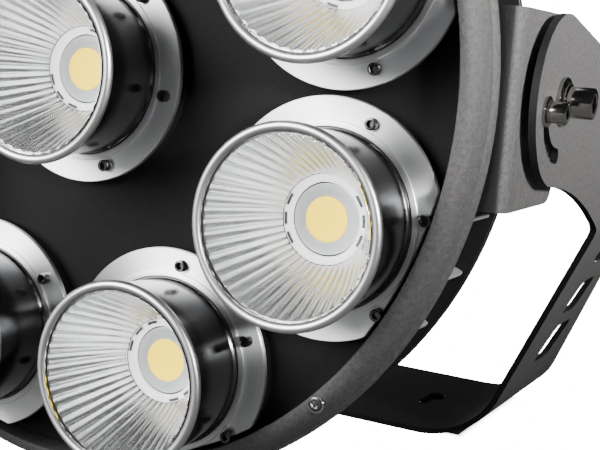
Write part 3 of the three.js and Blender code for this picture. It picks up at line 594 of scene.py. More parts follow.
class FloodLightHead(bpy.types.PropertyGroup):
    """Sizes and colours of the ring, plate, heat sink and yoke"""

    edge_radius: FloatProperty(
        name="Edge radius", description="Softening of cut sheet edges", default=0.7 * MM, unit="LENGTH")
    fins: IntProperty(name="Fins", description="Fins round the heat sink", default=40, min=8)
    coat_colour: FloatVectorProperty(
        name="Coat", description="Colour of yoke and ears", subtype="COLOR", default=(0.072, 0.07, 0.069))
    ring_colour: FloatVectorProperty(
        name="Cast coat", description="Colour of ring and driver housing", subtype="COLOR",
        default=(0.0576, 0.056, 0.0552))
    plate_colour: FloatVectorProperty(
        name="Plate", description="Colour of face plate", subtype="COLOR", default=(0.006, 0.0058, 0.0058))
    sink_colour: FloatVectorProperty(
        name="Sink", description="Colour of the heat sink", subtype="COLOR", default=(0.007, 0.007, 0.007))
    fin_colour: FloatVectorProperty(
        name="Fin coat", description="Colour of the fins", subtype="COLOR", default=(0.22, 0.217, 0.212))
    # Painted shade on the yoke's and ears' edges and over the base
    painted_shade_colour: FloatVectorProperty(
        name="Painted shade", description="Colour of the painted shade on the yoke's edges and base", subtype="COLOR",
        default=(0.006, 0.006, 0.006))


class FloodLightStage(bpy.types.PropertyGroup):
    """Camera and studio"""

    camera_place: FloatVectorProperty(
        name="Camera", description="Where the camera stands", subtype="TRANSLATION",
        default=(0.5328, -1.1275, 0.3397))
    camera_heading: FloatProperty(
        name="Heading", description="Turn of the view to the left of +Y", subtype="ANGLE",
        default=math.radians(26.54))
    camera_dip: FloatProperty(
        name="Dip", description="Fall of the view below level", subtype="ANGLE", default=math.radians(8.17))
    camera_roll: FloatProperty(
        name="Roll", description="Turn of the picture", subtype="ANGLE", default=math.radians(4.48))
    lens: FloatProperty(name="Lens", description="Focal length in millimetres", default=73.34)
    floor_colour: FloatVectorProperty(
        name="Floor", description="Colour of the floor", subtype="COLOR", default=(0.16, 0.16, 0.16))
    surroundings: FloatProperty(
        name="Surroundings", description="Strength of the light from all round", default=0.02, min=0)
    backdrop: FloatProperty(
        name="Backdrop", description="Brightness of the white behind the lamp", default=30.0, min=0)


# Lens modules

FLANGE_RADIUS, FLANGE_TRIM_RADIUS, FLANGE_EDGE = 80.0, 278.0, 0.5
LIP_INNER, LIP_OUTER, LIP_HEIGHT = 60.4, 64.4, 1.6
FLANGE_SCREWS, FLANGE_SCREW_CIRCLE, SCREW_TURN = 6, 70.0, 29.5
MODULE_STEP, CENTRE_TURN = 45.0, 19.5
BEAD_CENTRE, BEAD_SECTION = (61.65, 57.4), 3.25
GLASS_RADIUS, GLASS_TOP, GLASS_THICKNESS, GLASS_EDGE = 58.1, 60.0, 3.0, 0.4
REFLECTOR_RIM, REFLECTOR_FOOT = 57.5, 29.8
REFLECTOR_TOP, REFLECTOR_BOTTOM = 56.3, 0.9
# Places across one flute, from crest to crest, closer together at the crests
FLUTE_STATIONS = (0.0, 0.04, 0.1, 0.21, 0.35, 0.5, 0.65, 0.79, 0.9, 0.96)
CREST_ROUNDNESS = 0.12
HOLDER_INNER, HOLDER_OUTER = 24.5, 29.6
HOLDER_FOOT, HOLDER_TOP = -3.7, 0.9
HOLDER_SLOTS, HOLDER_SLOT_LENGTH, HOLDER_TURN = (-27.0, 0.0, 27.0), 17.0, 27.5
CERAMIC_RADIUS, CERAMIC_TOP = 23.4, -2.4
EMITTER_RADIUS, EMITTER_RISE = 15.0, 0.8
PAD_RADIUS, PAD_TOP = 78.8, -4.05
PLATE_RADIUS, PLATE_FRONT, PLATE_BACK, PLATE_EDGE = 281.0, -12.0, -20.0, 0.4


def module_angle(number):
    """Turn of a module in degrees: an outer one's direction from the head's middle, or the inner's own."""
    return CENTRE_TURN if number == 1 else MODULE_STEP * (number - 1.5)


def trimmed_disc(rows, number, radius, inner, segments=240):
    """Flat ring round a module's middle c, cut off by a circle about the head's axis: in direction u it
    reaches its own radius or t = sqrt((c.u)^2 - c.c + limit^2) - c.u, whichever is less. Each row is [share,
    inset, height], at radius inner + share (reach - inset - inner)."""
    a = full_turn(segments)
    middle = (node_centre(f"cup_{number}") - LAMP_CENTRE) / MM
    centre = np.array([middle.x, middle.z])
    away = np.stack([np.cos(a), np.sin(a)], 1) @ centre
    reach = np.minimum(radius, np.sqrt(away**2 - centre @ centre + FLANGE_TRIM_RADIUS**2) - away)
    return stacked(a, [(inner + share * (reach - cut - inner), height) for share, cut, height in rows])


class FLOOD_OT_flanges(bpy.types.Operator):
    """Silver flanges with their lips and cap screws"""

    bl_idname = "flood.flanges"
    bl_label = "Flanges"

    def execute(self, context):
        edge, bottom = FLANGE_EDGE, -FLANGE_THICKNESS
        rows = [(0, 0, bottom), (1, edge, bottom), (1, 0, edge + bottom), (1, 0, -edge), (1, edge, 0),
                (0, 0, 0)]
        lip = band(LIP_INNER, LIP_OUTER, -1, LIP_HEIGHT, edge, 160)
        screw = socket_screw(radius=4.1, height=4.5, socket=2.2, depth=2.8, foot=-0.5)
        for number in MODULES:
            plate = trimmed_disc(rows, number, FLANGE_RADIUS, LIP_INNER)
            add_to_module(number, "flange_plate", [plate, lip], "satin silver", "flange")
            start = math.radians(module_angle(number) + SCREW_TURN)
            places = on_circle(FLANGE_SCREW_CIRCLE, FLANGE_SCREWS, start)
            heads = [moved(screw, x, y, turn=t) for x, y, t in places]
            add_to_module(number, "flange_screws", heads, "dark steel", wrap_v=False)
        return {"FINISHED"}


def cup_wall():
    """Closed profile of a cup: foot, barrel swelling to the neck, and the inner wall back down."""
    up = np.linspace(0, 1, 14)
    barrel = np.stack([58.2 + 3.4 * up**0.8, 6 + 47.0 * up], 1)
    inner = np.stack([59.4 - 3.8 * up**1.2, 53 - 47.0 * up], 1)
    foot = np.array([(55.3, -4.0), (60.0, -4.0), (60.0, 1.8), (59.4, 3.0), (58.3, 4.2)])
    return np.vstack([foot, barrel, inner])


class FLOOD_OT_cups(bpy.types.Operator):
    """Spun cups with rolled beads and the gasket inside each mouth"""

    bl_idname = "flood.cups"
    bl_label = "Cups"

    def execute(self, context):
        bead = np.vstack([arc(BEAD_CENTRE, BEAD_SECTION, -100, 180, 26), [(58.6, 54.2), (60.2, 53.3)]])
        gasket = band(57.9, 59.1, 53.6, 56.9, 0.3, 120)
        for number in MODULES:
            add_to_module(number, "cup_shell", [turned(cup_wall(), 160)], "smoked metal", "cup")
            add_to_module(number, "cup_bead", [turned(bead, 160)], "rolled bead", smooth=50)
            add_to_module(number, "gasket", [gasket], "black rubber")
        return {"FINISHED"}


def fluted_bowl(flutes, depth, rows=26):
    """Bowl of radial channels: at height share t the wall's radius is foot + (rim - foot) t^0.88, and each
    channel adds depth (0.4 + 0.6 t) (sqrt(sin^2(flutes a / 2) + w^2) - w), so that narrow crests of roundness
    w stand between round channels. A smooth outer wall 0.8 behind the channels closes it."""
    a = ((np.arange(flutes)[:, None] + np.array(FLUTE_STATIONS)).ravel() * TURN / flutes)[:, None]
    t = np.linspace(0, 1, rows)[None, :]
    base = REFLECTOR_FOOT + (REFLECTOR_RIM - depth - REFLECTOR_FOOT) * t**0.88
    wave = np.sqrt(np.sin(flutes * a / 2) ** 2 + CREST_ROUNDNESS**2) - CREST_ROUNDNESS
    inner = base + depth * (0.4 + 0.6 * t) * wave
    height = REFLECTOR_BOTTOM + (REFLECTOR_TOP - REFLECTOR_BOTTOM) * t
    outer = (base + depth + 0.8)[:, ::-1]
    radius = np.hstack([inner, np.broadcast_to(outer, inner.shape)])
    z = np.broadcast_to(np.hstack([height, height[:, ::-1] - 0.1]), radius.shape)
    return np.stack([radius * np.cos(a), radius * np.sin(a), z], 2)


class FLOOD_OT_reflectors(bpy.types.Operator):
    """Fluted reflectors and the holders that centre them"""

    bl_idname = "flood.reflectors"
    bl_label = "Reflectors"

    def execute(self, context):
        sizes = context.scene.flood_module
        bowl = fluted_bowl(sizes.flutes, sizes.flute_depth / MM)
        inner, outer, foot, top = HOLDER_INNER, HOLDER_OUTER, HOLDER_FOOT, HOLDER_TOP
        collar = rounded([(inner, foot), (outer, foot), (outer, top), (inner + 1.2, top - 0.2),
                          (inner, top - 1.4)], 0.5, 4)
        slot = rounded([(26.9, 0.2), (29.1, 0.2), (29.1, 1.05), (26.9, 0.98)], 0.2, 3)
        length = math.radians(HOLDER_SLOT_LENGTH)
        for number in MODULES:
            middles = [math.radians(module_angle(number) + HOLDER_TURN + half + angle)
                       for half in (0, 180) for angle in HOLDER_SLOTS]
            slots = [closed_ends(turned(slot, 8, middle - length / 2, length)) for middle in middles]
            add_to_module(number, "reflector_bowl", [bowl], "reflector metal", "reflector", smooth=45)
            # The holder's white glow is painted light
            add_to_module(number, "holder", [turned(collar, 144)], "holder")
            add_to_module(number, "holder_slots", slots, "slot shade", wrap_u=False)
        return {"FINISHED"}


class FLOOD_OT_light_sources(bpy.types.Operator):
    """Ceramic carriers and phosphor discs"""

    bl_idname = "flood.light_sources"
    bl_label = "Light sources"

    def execute(self, context):
        rim, side, top = CERAMIC_RADIUS, EMITTER_RADIUS, CERAMIC_TOP
        ceramic = [(0, -FLANGE_THICKNESS), (rim, -FLANGE_THICKNESS), (rim, top - 0.3), (rim - 0.3, top),
                   (side + 1.6, top), (side + 1.4, top + 0.4), (side + 0.2, top + 0.4), (side, top), (0, top)]
        t = np.linspace(0, math.pi / 2, 8)
        dome = np.stack([side * np.cos(t), top + EMITTER_RISE * np.sin(t)], 1)
        emitter = np.vstack([[(0, top - 0.2), (side, top - 0.2)], dome])
        for number in MODULES:
            add_to_module(number, "phosphor", [turned(emitter, 96)], "phosphor", "light_source", wrap_v=False)
            add_to_module(number, "ceramic", [turned(ceramic, 96)], "ceramic", wrap_v=False)
        return {"FINISHED"}


class FLOOD_OT_glasses(bpy.types.Operator):
    """Clear cover glasses in the cups' mouths"""

    bl_idname = "flood.glasses"
    bl_label = "Cover glasses"

    def execute(self, context):
        radius, edge, top, bottom = GLASS_RADIUS, GLASS_EDGE, GLASS_TOP, GLASS_TOP - GLASS_THICKNESS
        profile = [(0, bottom), (radius - edge, bottom), (radius, bottom + edge), (radius, top - edge),
                   (radius - edge, top), (0, top)]
        for number in MODULES:
            add_to_module(number, "glass", [turned(profile, 128)], "cover glass", "cover_glass", wrap_v=False)
        return {"FINISHED"}


# Head

# Gap between pieces that lie on each other
LAYER_GAP = 0.3
RING_SCREWS, RING_SCREW_CIRCLE, RING_SEAT = 4, 287.5, 2.4
CORE_RADIUS, CORE_FRONT, CORE_BACK = 262.0, -20.3, -38.3
FIN_BACK, RIM_BACK = -88.3, -94.3
FIN_INNER, FIN_OUTER, FIN_THICKNESS, FIN_OVERLAP, FIN_TURN = 110.0, 289.0, 3.0, 1.5, 2.7
RIM_INNER, RIM_OUTER = 268.7, 292.7
HOUSING_RADIUS, HOUSING_BACK, HOUSING_CORNER, HOUSING_WALL = 103.0, -130.6, 10.0, 70.0
LID_RADIUS, LID_THICKNESS, LID_EDGE = 88.0, 6.0, 1.2
LID_SCREWS, LID_SCREW_CIRCLE, LID_SCREW_SINK = 8, 78.0, 3.4


def ring_section():
    """Closed profile of the front ring: upright bore, crest, convex fall with a fine groove, rear edge."""
    return [(281.3, -18.0), (281.3, 4.4), (281.9, 5.3), (283.2, 5.4), (286.4, 4.6), (289.6, 2.6),
            (292.2, -0.6), (294.2, -4.4), (295.9, -8.2), (297.0, -10.6), (296.8, -11.6), (297.6, -12.2),
            (298.6, -13.4), (299.6, -15.2), (300.0, -16.6), (299.6, -17.6), (298.6, -18.0)]


class FLOOD_OT_ring(bpy.types.Operator):
    """Front ring and its four cover screws"""

    bl_idname = "flood.ring"
    bl_label = "Front ring"

    def execute(self, context):
        add("ring_cover", [turned(ring_section(), 360)], "powder coat", nodes=["front_ring"], smooth=40)
        washer = band(2.0, 6.2, RING_SEAT, RING_SEAT + 2.6, 0.7, 48)
        drive = socket_screw(radius=5.0, height=RING_SEAT + 3.2, socket=2.4, depth=2.2, foot=RING_SEAT)
        places = on_circle(RING_SCREW_CIRCLE, RING_SCREWS, TURN / RING_SCREWS / 2)
        add("ring_washers", [moved(washer, x, y) for x, y, _ in places], "stainless")
        add("ring_screws", [moved(drive, x, y) for x, y, _ in places], "dark steel", wrap_v=False)
        return {"FINISHED"}


class FLOOD_OT_plate(bpy.types.Operator):
    """Black face plate and the pads under the flanges"""

    bl_idname = "flood.plate"
    bl_label = "Face plate"

    def execute(self, context):
        rim, edge = PLATE_RADIUS, PLATE_EDGE
        profile = [(0, PLATE_BACK), (rim, PLATE_BACK), (rim, PLATE_FRONT - edge), (rim - edge, PLATE_FRONT),
                   (0, PLATE_FRONT)]
        add("plate_panel", [turned(profile, 240)], "black plate", nodes=["face_plate"], wrap_v=False)
        rows = [(0, 0, PLATE_FRONT - 1), (1, 0, PLATE_FRONT - 1), (1, 0, PAD_TOP - 0.55), (1, 0.5, PAD_TOP),
                (0, 0, PAD_TOP)]
        for number in MODULES:
            pad = trimmed_disc(rows, number, PAD_RADIUS, 0.0)
            add_to_module(number, "flange_pad", [pad], "black plate", wrap_v=False)
        return {"FINISHED"}


def fin_grid(angle):
    """One fin: a slab over its rounded side outline, stood on edge and turned to its place round the head."""
    side = rectangle(FIN_INNER, FIN_OUTER, CORE_BACK + FIN_OVERLAP, FIN_BACK - FIN_OVERLAP)
    return moved(slab(rounded(side, 4.0, 5), FIN_THICKNESS, 0.6)[..., [0, 2, 1]], turn=angle)


class FLOOD_OT_heat_sink(bpy.types.Operator):
    """Heat sink: core, radial fins and rear rim"""

    bl_idname = "flood.heat_sink"
    bl_label = "Heat sink"

    def execute(self, context):
        fins = context.scene.flood_head.fins
        core = [(0, CORE_BACK), (CORE_RADIUS - 1, CORE_BACK), (CORE_RADIUS, CORE_BACK + 1),
                (CORE_RADIUS, CORE_FRONT), (0, CORE_FRONT)]
        add("sink_core", [turned(core, 200)], "cast black", nodes=["heat_sink"], wrap_v=False)
        add("sink_rim", [band(RIM_INNER, RIM_OUTER, RIM_BACK, FIN_BACK, 1.4, 300, 5)], "cast black")
        grids = [fin_grid(math.radians(FIN_TURN) + k * TURN / fins) for k in range(fins)]
        add("sink_fins", grids, "fin coat", wrap_v=False)
        return {"FINISHED"}


class FLOOD_OT_housing(bpy.types.Operator):
    """Driver housing on the back, with its lid and screws"""

    bl_idname = "flood.housing"
    bl_label = "Driver housing"

    def execute(self, context):
        front, side, corner = CORE_BACK - LAYER_GAP, HOUSING_RADIUS, HOUSING_CORNER
        bend = arc((side - corner, HOUSING_BACK + corner), corner, 0, -90, 8)
        wall = [(0, front), (side, front), (side, front - HOUSING_WALL)]
        shell = np.vstack([wall, bend, [(0, HOUSING_BACK)]])
        add("housing_shell", [turned(shell, 160)], "powder coat", nodes=["driver_housing"], wrap_v=False)
        top, rim, edge = HOUSING_BACK - LAYER_GAP, LID_RADIUS, LID_EDGE
        back = top - LID_THICKNESS
        lid = [(0, top), (rim, top), (rim, back + edge), (rim - edge, back), (0, back)]
        add("housing_lid", [turned(lid, 160)], "powder coat", nodes=["driver_lid"], wrap_v=False)
        screw = socket_screw(radius=4.4, height=4.2, socket=2.0, depth=2.4) * np.array([1, -1, -1])
        places = on_circle(LID_SCREW_CIRCLE, LID_SCREWS)
        add("lid_screws", [moved(screw, x, y, back + LID_SCREW_SINK) for x, y, _ in places], "stainless",
            wrap_v=False)
        return {"FINISHED"}


class FLOOD_OT_gland(bpy.types.Operator):
    """Cable gland on the rear rim"""

    bl_idname = "flood.gland"
    bl_label = "Cable gland"

    def execute(self, context):
        centre, seat, a = node_centre("cable_gland"), RIM_BACK - LAYER_GAP, full_turn(96)
        six, ribs = hexagon_radius(a, 9.4), 8.4 + 0.35 * np.cos(24 * a)
        nut = stacked(a, [(0, seat), (six * 0.96, seat), (six, seat - 1), (six, seat - 6),
                          (six * 0.96, seat - 7), (0, seat - 7)])
        cap = stacked(a, [(4.2, seat - 7), (8.8, seat - 7), (ribs, seat - 8), (ribs, seat - 17),
                          (7.0, seat - 20.6), (4.4, seat - 20.8), (4.2, seat - 18)])
        add("gland_nut", [nut], "black moulding", centre, nodes=["cable_gland"], wrap_v=False)
        add("gland_cap", [cap], "black moulding", centre)
        return {"FINISHED"}


# Tilting joint and ears

SIDES = ((1, "right"), (-1, "left"))
PIVOT_PLACE, PIVOT_HOLE, PIVOT_NUT_ROOM = (-88.0, 5.0), 7.4, 13.25
EAR_FACE, EAR_THICKNESS = 309.0, 6.0
CHEEK_FACE, YOKE_SHEET = 320.0, 5.0
SLOT_RADIUS, LOCK_ANGLE, LOCK_HOLE = 36.0, -10.0, 4.4
EAR_LOW, EAR_HIGH, EAR_CORNER = -66.0, 62.0, 16.0
EAR_FRONT, EAR_BACK, EAR_BEND = -21.0, -125.0, 12.0
EAR_WEB_REACH = 60.0
# How far cutting tools reach past what they cut
CLEAR = 5.0


def lock_place():
    """Lock bolt's place beside the head: (head z, head y), on the slot's circle."""
    return tuple(arc(PIVOT_PLACE, SLOT_RADIUS, LOCK_ANGLE, LOCK_ANGLE, 1)[0])


def circle(centre, radius):
    return arc(centre, radius, 0, 360, 49)[:-1]


class FLOOD_OT_ears(bpy.types.Operator):
    """Brackets on the head that the yoke's cheeks clamp"""

    bl_idname = "flood.ears"
    bl_label = "Ears"

    def execute(self, context):
        low, high, front, back, thick = EAR_LOW, EAR_HIGH, EAR_FRONT, EAR_BACK, EAR_THICKNESS
        inner, web_start = EAR_FACE - thick, EAR_FACE - EAR_WEB_REACH
        through = (inner - CLEAR, EAR_FACE + CLEAR)
        holes = ((PIVOT_PLACE, PIVOT_NUT_ROOM, (web_start - CLEAR, inner)),
                 (PIVOT_PLACE, PIVOT_HOLE, through), (lock_place(), LOCK_HOLE, through))
        corners = [(front, low), (front, high), (back, high), (back, low)]
        outline = rounded(corners, [1, 1, EAR_CORNER, EAR_CORNER])
        plan = rounded(rectangle(inner - EAR_WEB_REACH, EAR_FACE, back, front), [0.5, 0.5, EAR_BEND, 0.5], 10)
        core = turned(rectangle(0, CORE_RADIUS + LAYER_GAP, front - thick - 2, front + 2), 160)
        for side, name in SIDES:
            # own axes: x along head z, y along head y, z outwards along X
            axes = ((0, -1, 0), (0, 0, 1), (side, 0, 0))
            plate = mesh_of_prism(outline, inner, EAR_FACE, axes, LAMP_CENTRE)
            piece = new_object(f"ear_bracket_{name}", plate)
            for face in (front, RIM_BACK - LAYER_GAP):
                web = rectangle(face - thick, face, low, high)
                combined(piece, "UNION", mesh_of_prism(web, web_start, EAR_FACE - 0.5, axes, LAMP_CENTRE))
            combined(piece, "DIFFERENCE", mesh_of_grids("core", [core], LAMP_CENTRE, HEAD_AXES, wrap_v=False))
            plan_axes = ((side, 0, 0), (0, -1, 0), (0, 0, 1))
            combined(piece, "INTERSECT", mesh_of_prism(plan, low - 1, high + 1, plan_axes, LAMP_CENTRE))
            for centre, radius, depth in holes:
                hole = mesh_of_prism(circle(centre, radius), *depth, axes, LAMP_CENTRE)
                combined(piece, "DIFFERENCE", hole)
            finished(piece, "yoke coat", "head", [f"ear_{name}"], bevel=context.scene.flood_head.edge_radius)
        return {"FINISHED"}


def split_ring(inner, outer, low, high, segments=60, rise=0.18):
    """Spring washer: a rectangular section turned almost once, its ends a little apart along the axis."""
    gap = math.radians(9)
    grid = turned(rounded(rectangle(inner, outer, low, high), 0.3, 3), segments, gap / 2, TURN - gap)
    grid[..., 2] += np.linspace(-rise, rise, segments)[:, None]
    return closed_ends(grid)


# Bolt: place beside the head, shank radius, [radius, thickness] of the washer and of the spring washer, and
# the head's radius, height, socket and socket depth
BOLTS = {
    "pivot_bolt": (PIVOT_PLACE, 7.0, (16.0, 3.0), (12.2, 2.5), (10.4, 16.0, 5.4, 7.0)),
    "lock_bolt": (lock_place(), 4.0, (10.0, 2.0), (7.4, 2.0), (6.9, 10.0, 3.4, 4.5)),
}
# Bolt grids that don't close on themselves, round or along
OPEN_GRIDS = {"spring": {"wrap_u": False}, "head": {"wrap_v": False}, "shank": {"wrap_v": False}}


def bolt_grids(shank, washer, spring, head):
    """Grids of one bolt's pieces along its own z, which starts on the lamp's middle plane."""
    hole, a = shank + 0.3, full_turn(72)
    six = hexagon_radius(a, shank * 1.5)
    washer_top = CHEEK_FACE + washer[1]
    seat = washer_top + spring[1]
    end = EAR_FACE - EAR_THICKNESS
    start = end - 1.2 * shank
    return {
        "washer": band(hole, washer[0], CHEEK_FACE, washer_top, 0.5, 72),
        "spring": split_ring(hole, spring[0], washer_top + 0.2, seat - 0.2),
        "head": moved(socket_screw(*head, segments=72), z=seat),
        "shank": turned(rectangle(0, shank, start, seat + 1), 48),
        "nut": stacked(a, [
            (shank, start), (six * 0.95, start), (six, start + 0.8), (six, end), (shank, end)]),
    }


def beside_head(place):
    """Origin of a bolt, in metres: level with its place beside the head, on the lamp's middle plane."""
    along, up = place
    return LAMP_CENTRE + Vector((0, -along, up)) * MM


class FLOOD_OT_bolts(bpy.types.Operator):
    """Pivot and lock bolts with their washers and nuts, and the spacers behind the cheeks"""

    bl_idname = "flood.bolts"
    bl_label = "Clamp bolts"

    def execute(self, context):
        ring = band(7.5, 20.0, EAR_FACE, CHEEK_FACE - YOKE_SHEET, 0.4, 96)
        for side, name in SIDES:
            axes = ((0, side, 0), (0, 0, 1), (side, 0, 0))
            for kind, (place, *sizes) in BOLTS.items():
                for part, grid in bolt_grids(*sizes).items():
                    nodes = [f"{kind}_{name}"] if part == "head" else ()
                    add(f"{kind}_{part}_{name}", [grid], "stainless", beside_head(place), axes, nodes,
                        **OPEN_GRIDS.get(part, {}))
            add(f"spacer_{name}", [ring], "black rubber", beside_head(PIVOT_PLACE), axes,
                [f"pivot_spacer_{name}"])
        return {"FINISHED"}


# Yoke

PIVOT_HEIGHT = PIVOT.z / MM
CHEEK_RADIUS = 57.0
BASE_HALF_LENGTH, BASE_FRONT, BASE_REAR = 209.0, 232.0, 432.0
KNEE_DROP, KNEE_SETBACK, KNEE_BEND = 100.0, 144.0, 7.0
TOP_EDGE_FALL = 11.0
REAR_TOP_SETBACK, REAR_TOP_CORNER = 276.0, 34.0
FRONT_FILLET = 7.0
NECK_SWELL = (70.0, -62.0)
BEND_RADIUS = 85.0
# Windows: setback and drop from the pivot, length and height
WINDOWS = ((237.5, 124.0, 37.0, 27.0), (263.5, 174.0, 42.5, 32.5), (289.5, 224.0, 48.0, 38.0))
WINDOW_CORNER = 10.0
SLOT_HALF_WIDTH, SLOT_TOP, SLOT_BOTTOM = 5.2, -9.0, -89.0
BASE_SLOT_X, BASE_SLOT_RADIUS, BASE_SLOT_HALF = 133.0, 8.5, 14.0


def strip_section():
    """Bent strip seen from the front: base, a bend of constant radius on each side, leaning arm and cheek."""
    knee, top = PIVOT_HEIGHT - KNEE_DROP, PIVOT_HEIGHT + CHEEK_RADIUS + CLEAR
    lean = math.atan2(CHEEK_FACE - BASE_HALF_LENGTH, knee)
    tilt = math.pi / 2 - lean
    outer_radius = BEND_RADIUS + YOKE_SHEET
    centre = (BASE_HALF_LENGTH - outer_radius * math.tan(tilt / 2), outer_radius)
    down_the_arm = -np.array([math.sin(lean), math.cos(lean)])
    inner_knee = knee + YOKE_SHEET * math.tan(lean / 2)
    walls = []
    for radius, face, height in ((outer_radius, CHEEK_FACE, knee),
                                 (BEND_RADIUS, CHEEK_FACE - YOKE_SHEET, inner_knee)):
        corner = np.array([face, height])
        bend = curve(corner + down_the_arm * KNEE_BEND, corner, corner + np.array([0, KNEE_BEND]), 7)
        walls.append(np.vstack([arc(centre, radius, -90, math.degrees(tilt) - 90, 28), bend, [(face, top)]]))
    right = np.vstack([walls[0], walls[1][::-1]])
    return np.vstack([right, (right * np.array([-1, 1]))[::-1]])


def side_outline():
    """Arm and cheek from the side, as (setback behind the pivot, height above it)."""
    fall = math.radians(TOP_EDGE_FALL)
    round_cheek = arc((0, 0), CHEEK_RADIUS, -90, -270 - TOP_EDGE_FALL, 60)
    start = CHEEK_RADIUS * np.array([math.sin(fall), math.cos(fall)])
    rear_top = np.array([REAR_TOP_SETBACK, start[1] - (REAR_TOP_SETBACK - start[0]) * math.tan(fall)])
    back = rear_top - np.array([math.cos(fall), -math.sin(fall)]) * REAR_TOP_CORNER
    corner = curve(back, rear_top, rear_top - np.array([0, REAR_TOP_CORNER]), 12)
    sheet_top, under = YOKE_SHEET - PIVOT_HEIGHT, -PIVOT_HEIGHT - CLEAR
    knee, base_front, swell = np.array([(KNEE_SETBACK, -KNEE_DROP), (BASE_FRONT, sheet_top), NECK_SWELL])
    down, away = (knee + way / np.linalg.norm(way) * FRONT_FILLET
                  for way in (base_front - knee, swell - knee))
    neck = curve(away, swell, np.array([0, -CHEEK_RADIUS]), 12)
    base = [(REAR_TOP_SETBACK, -KNEE_DROP), (BASE_REAR, sheet_top), (BASE_REAR, under), (BASE_FRONT, under),
            (BASE_FRONT, sheet_top)]
    return np.vstack([round_cheek, corner, base, curve(down, knee, away, 12), neck[1:-1]])


def arc_slot():
    """Slot about the pivot: two arcs of one centre, closed by round ends. Ahead is away from the arm."""
    top, bottom = (arc((0, 0), SLOT_RADIUS, angle, angle, 1)[0] for angle in (SLOT_TOP, SLOT_BOTTOM))
    return np.array([-1, 1]) * np.vstack([
        arc(top, SLOT_HALF_WIDTH, SLOT_TOP, SLOT_TOP + 180, 12),
        arc((0, 0), SLOT_RADIUS - SLOT_HALF_WIDTH, SLOT_TOP, SLOT_BOTTOM, 24)[1:-1],
        arc(bottom, SLOT_HALF_WIDTH, SLOT_BOTTOM - 180, SLOT_BOTTOM, 12),
        arc((0, 0), SLOT_RADIUS + SLOT_HALF_WIDTH, SLOT_BOTTOM, SLOT_TOP, 24)[1:-1],
    ])


class FLOOD_OT_yoke(bpy.types.Operator):
    """Yoke: one bent strip with round cheeks, arc slots, windows and base slots"""

    bl_idname = "flood.yoke"
    bl_label = "Yoke"

    def execute(self, context):
        along_y = ((1, 0, 0), (0, 0, 1), (0, 1, 0))
        along_x = ((0, 1, 0), (0, 0, 1), (1, 0, 0))
        pivot, span = (0, PIVOT.y, PIVOT.z), CHEEK_FACE + CLEAR
        reach = (PIVOT.y / MM - CHEEK_RADIUS - CLEAR, PIVOT.y / MM + BASE_REAR + CLEAR)
        piece = new_object("yoke_sheet", mesh_of_prism(strip_section(), *reach, along_y))
        combined(piece, "INTERSECT", mesh_of_prism(side_outline(), -span, span, along_x, pivot))
        holes = [arc_slot(), circle((0, 0), PIVOT_HOLE)]
        for setback, drop, length, height in WINDOWS:
            window = rectangle(-length / 2, length / 2, -height / 2, height / 2)
            holes.append(rounded(np.array(window) + (setback, -drop), WINDOW_CORNER, 7))
        for hole in holes:
            combined(piece, "DIFFERENCE", mesh_of_prism(hole, -span, span, along_x, pivot))
        for x in (-BASE_SLOT_X, BASE_SLOT_X):
            slot = np.vstack([arc((x, BASE_SLOT_HALF), BASE_SLOT_RADIUS, 0, 180, 16),
                              arc((x, -BASE_SLOT_HALF), BASE_SLOT_RADIUS, 180, 360, 16)])
            combined(piece, "DIFFERENCE", mesh_of_prism(slot, -CLEAR, YOKE_SHEET + CLEAR, UP_AXES))
        finished(piece, "yoke coat", "yoke", ["yoke"], bevel=context.scene.flood_head.edge_radius)
        return {"FINISHED"}


# Stage

# Broad lobes of light in the room: direction, cosines where each starts and is full, strength
SOFT_LOBES = (
    ((-0.52, -0.8, 0.36), 0.92, 1.0, 28.0),
    ((-0.8, -0.55, 0.0), 0.88, 1.0, 2.0),
    ((-0.43, 0.35, 0.83), 0.93, 1.0, 3.0),
)
# Area lights: where each stands, what it is aimed at, its size, its power and how wide its beam spreads
AREA_LIGHTS = {
    "key": ((2.3, -1.3, 1.1), (0.4, -0.3, 0.84), (0.6, 0.6), 26, 34),
    "front": ((-1.0, -2.0, 2.2), LAMP_CENTRE, (1.3, 1.0), 2.2, 180),
    "rear": ((-0.6, 2.6, 0.66), (0, 0, 0.6), (0.8, 0.4), 10, 12),
}
FLOOR_HALF_SIZE, FLOOR_DROP = 40.0, 0.0005
FLOOR_SHARE = 0.75
# Painted shadow under the yoke's base: its inset from the base's edges and the width of its fade
SHADE_INSET, SHADE_FADE = 20 * MM, 10 * MM


def add_area(name, place, aim, size, power, spread):
    light = bpy.data.lights.new(name, "AREA")
    light.shape, light.size, light.size_y, light.energy = "RECTANGLE", *size, power
    light.spread = math.radians(spread)
    lamp = new_object(name, light)
    lamp.location = place
    lamp.rotation_euler = (Vector(aim) - Vector(place)).to_track_quat("-Z", "Y").to_euler()


def camera_sees(tree, share, lit, seen, output):
    """Mixes what lights the object with what the camera sees, into the output's surface."""
    mix = node(tree, "MixShader", {0: share, 1: lit.outputs[0], 2: seen.outputs[0]})
    feed(tree, tree.nodes[output], {"Surface": mix.outputs[0]})


def camera_ray(tree):
    return node(tree, "LightPath").outputs["Is Camera Ray"]


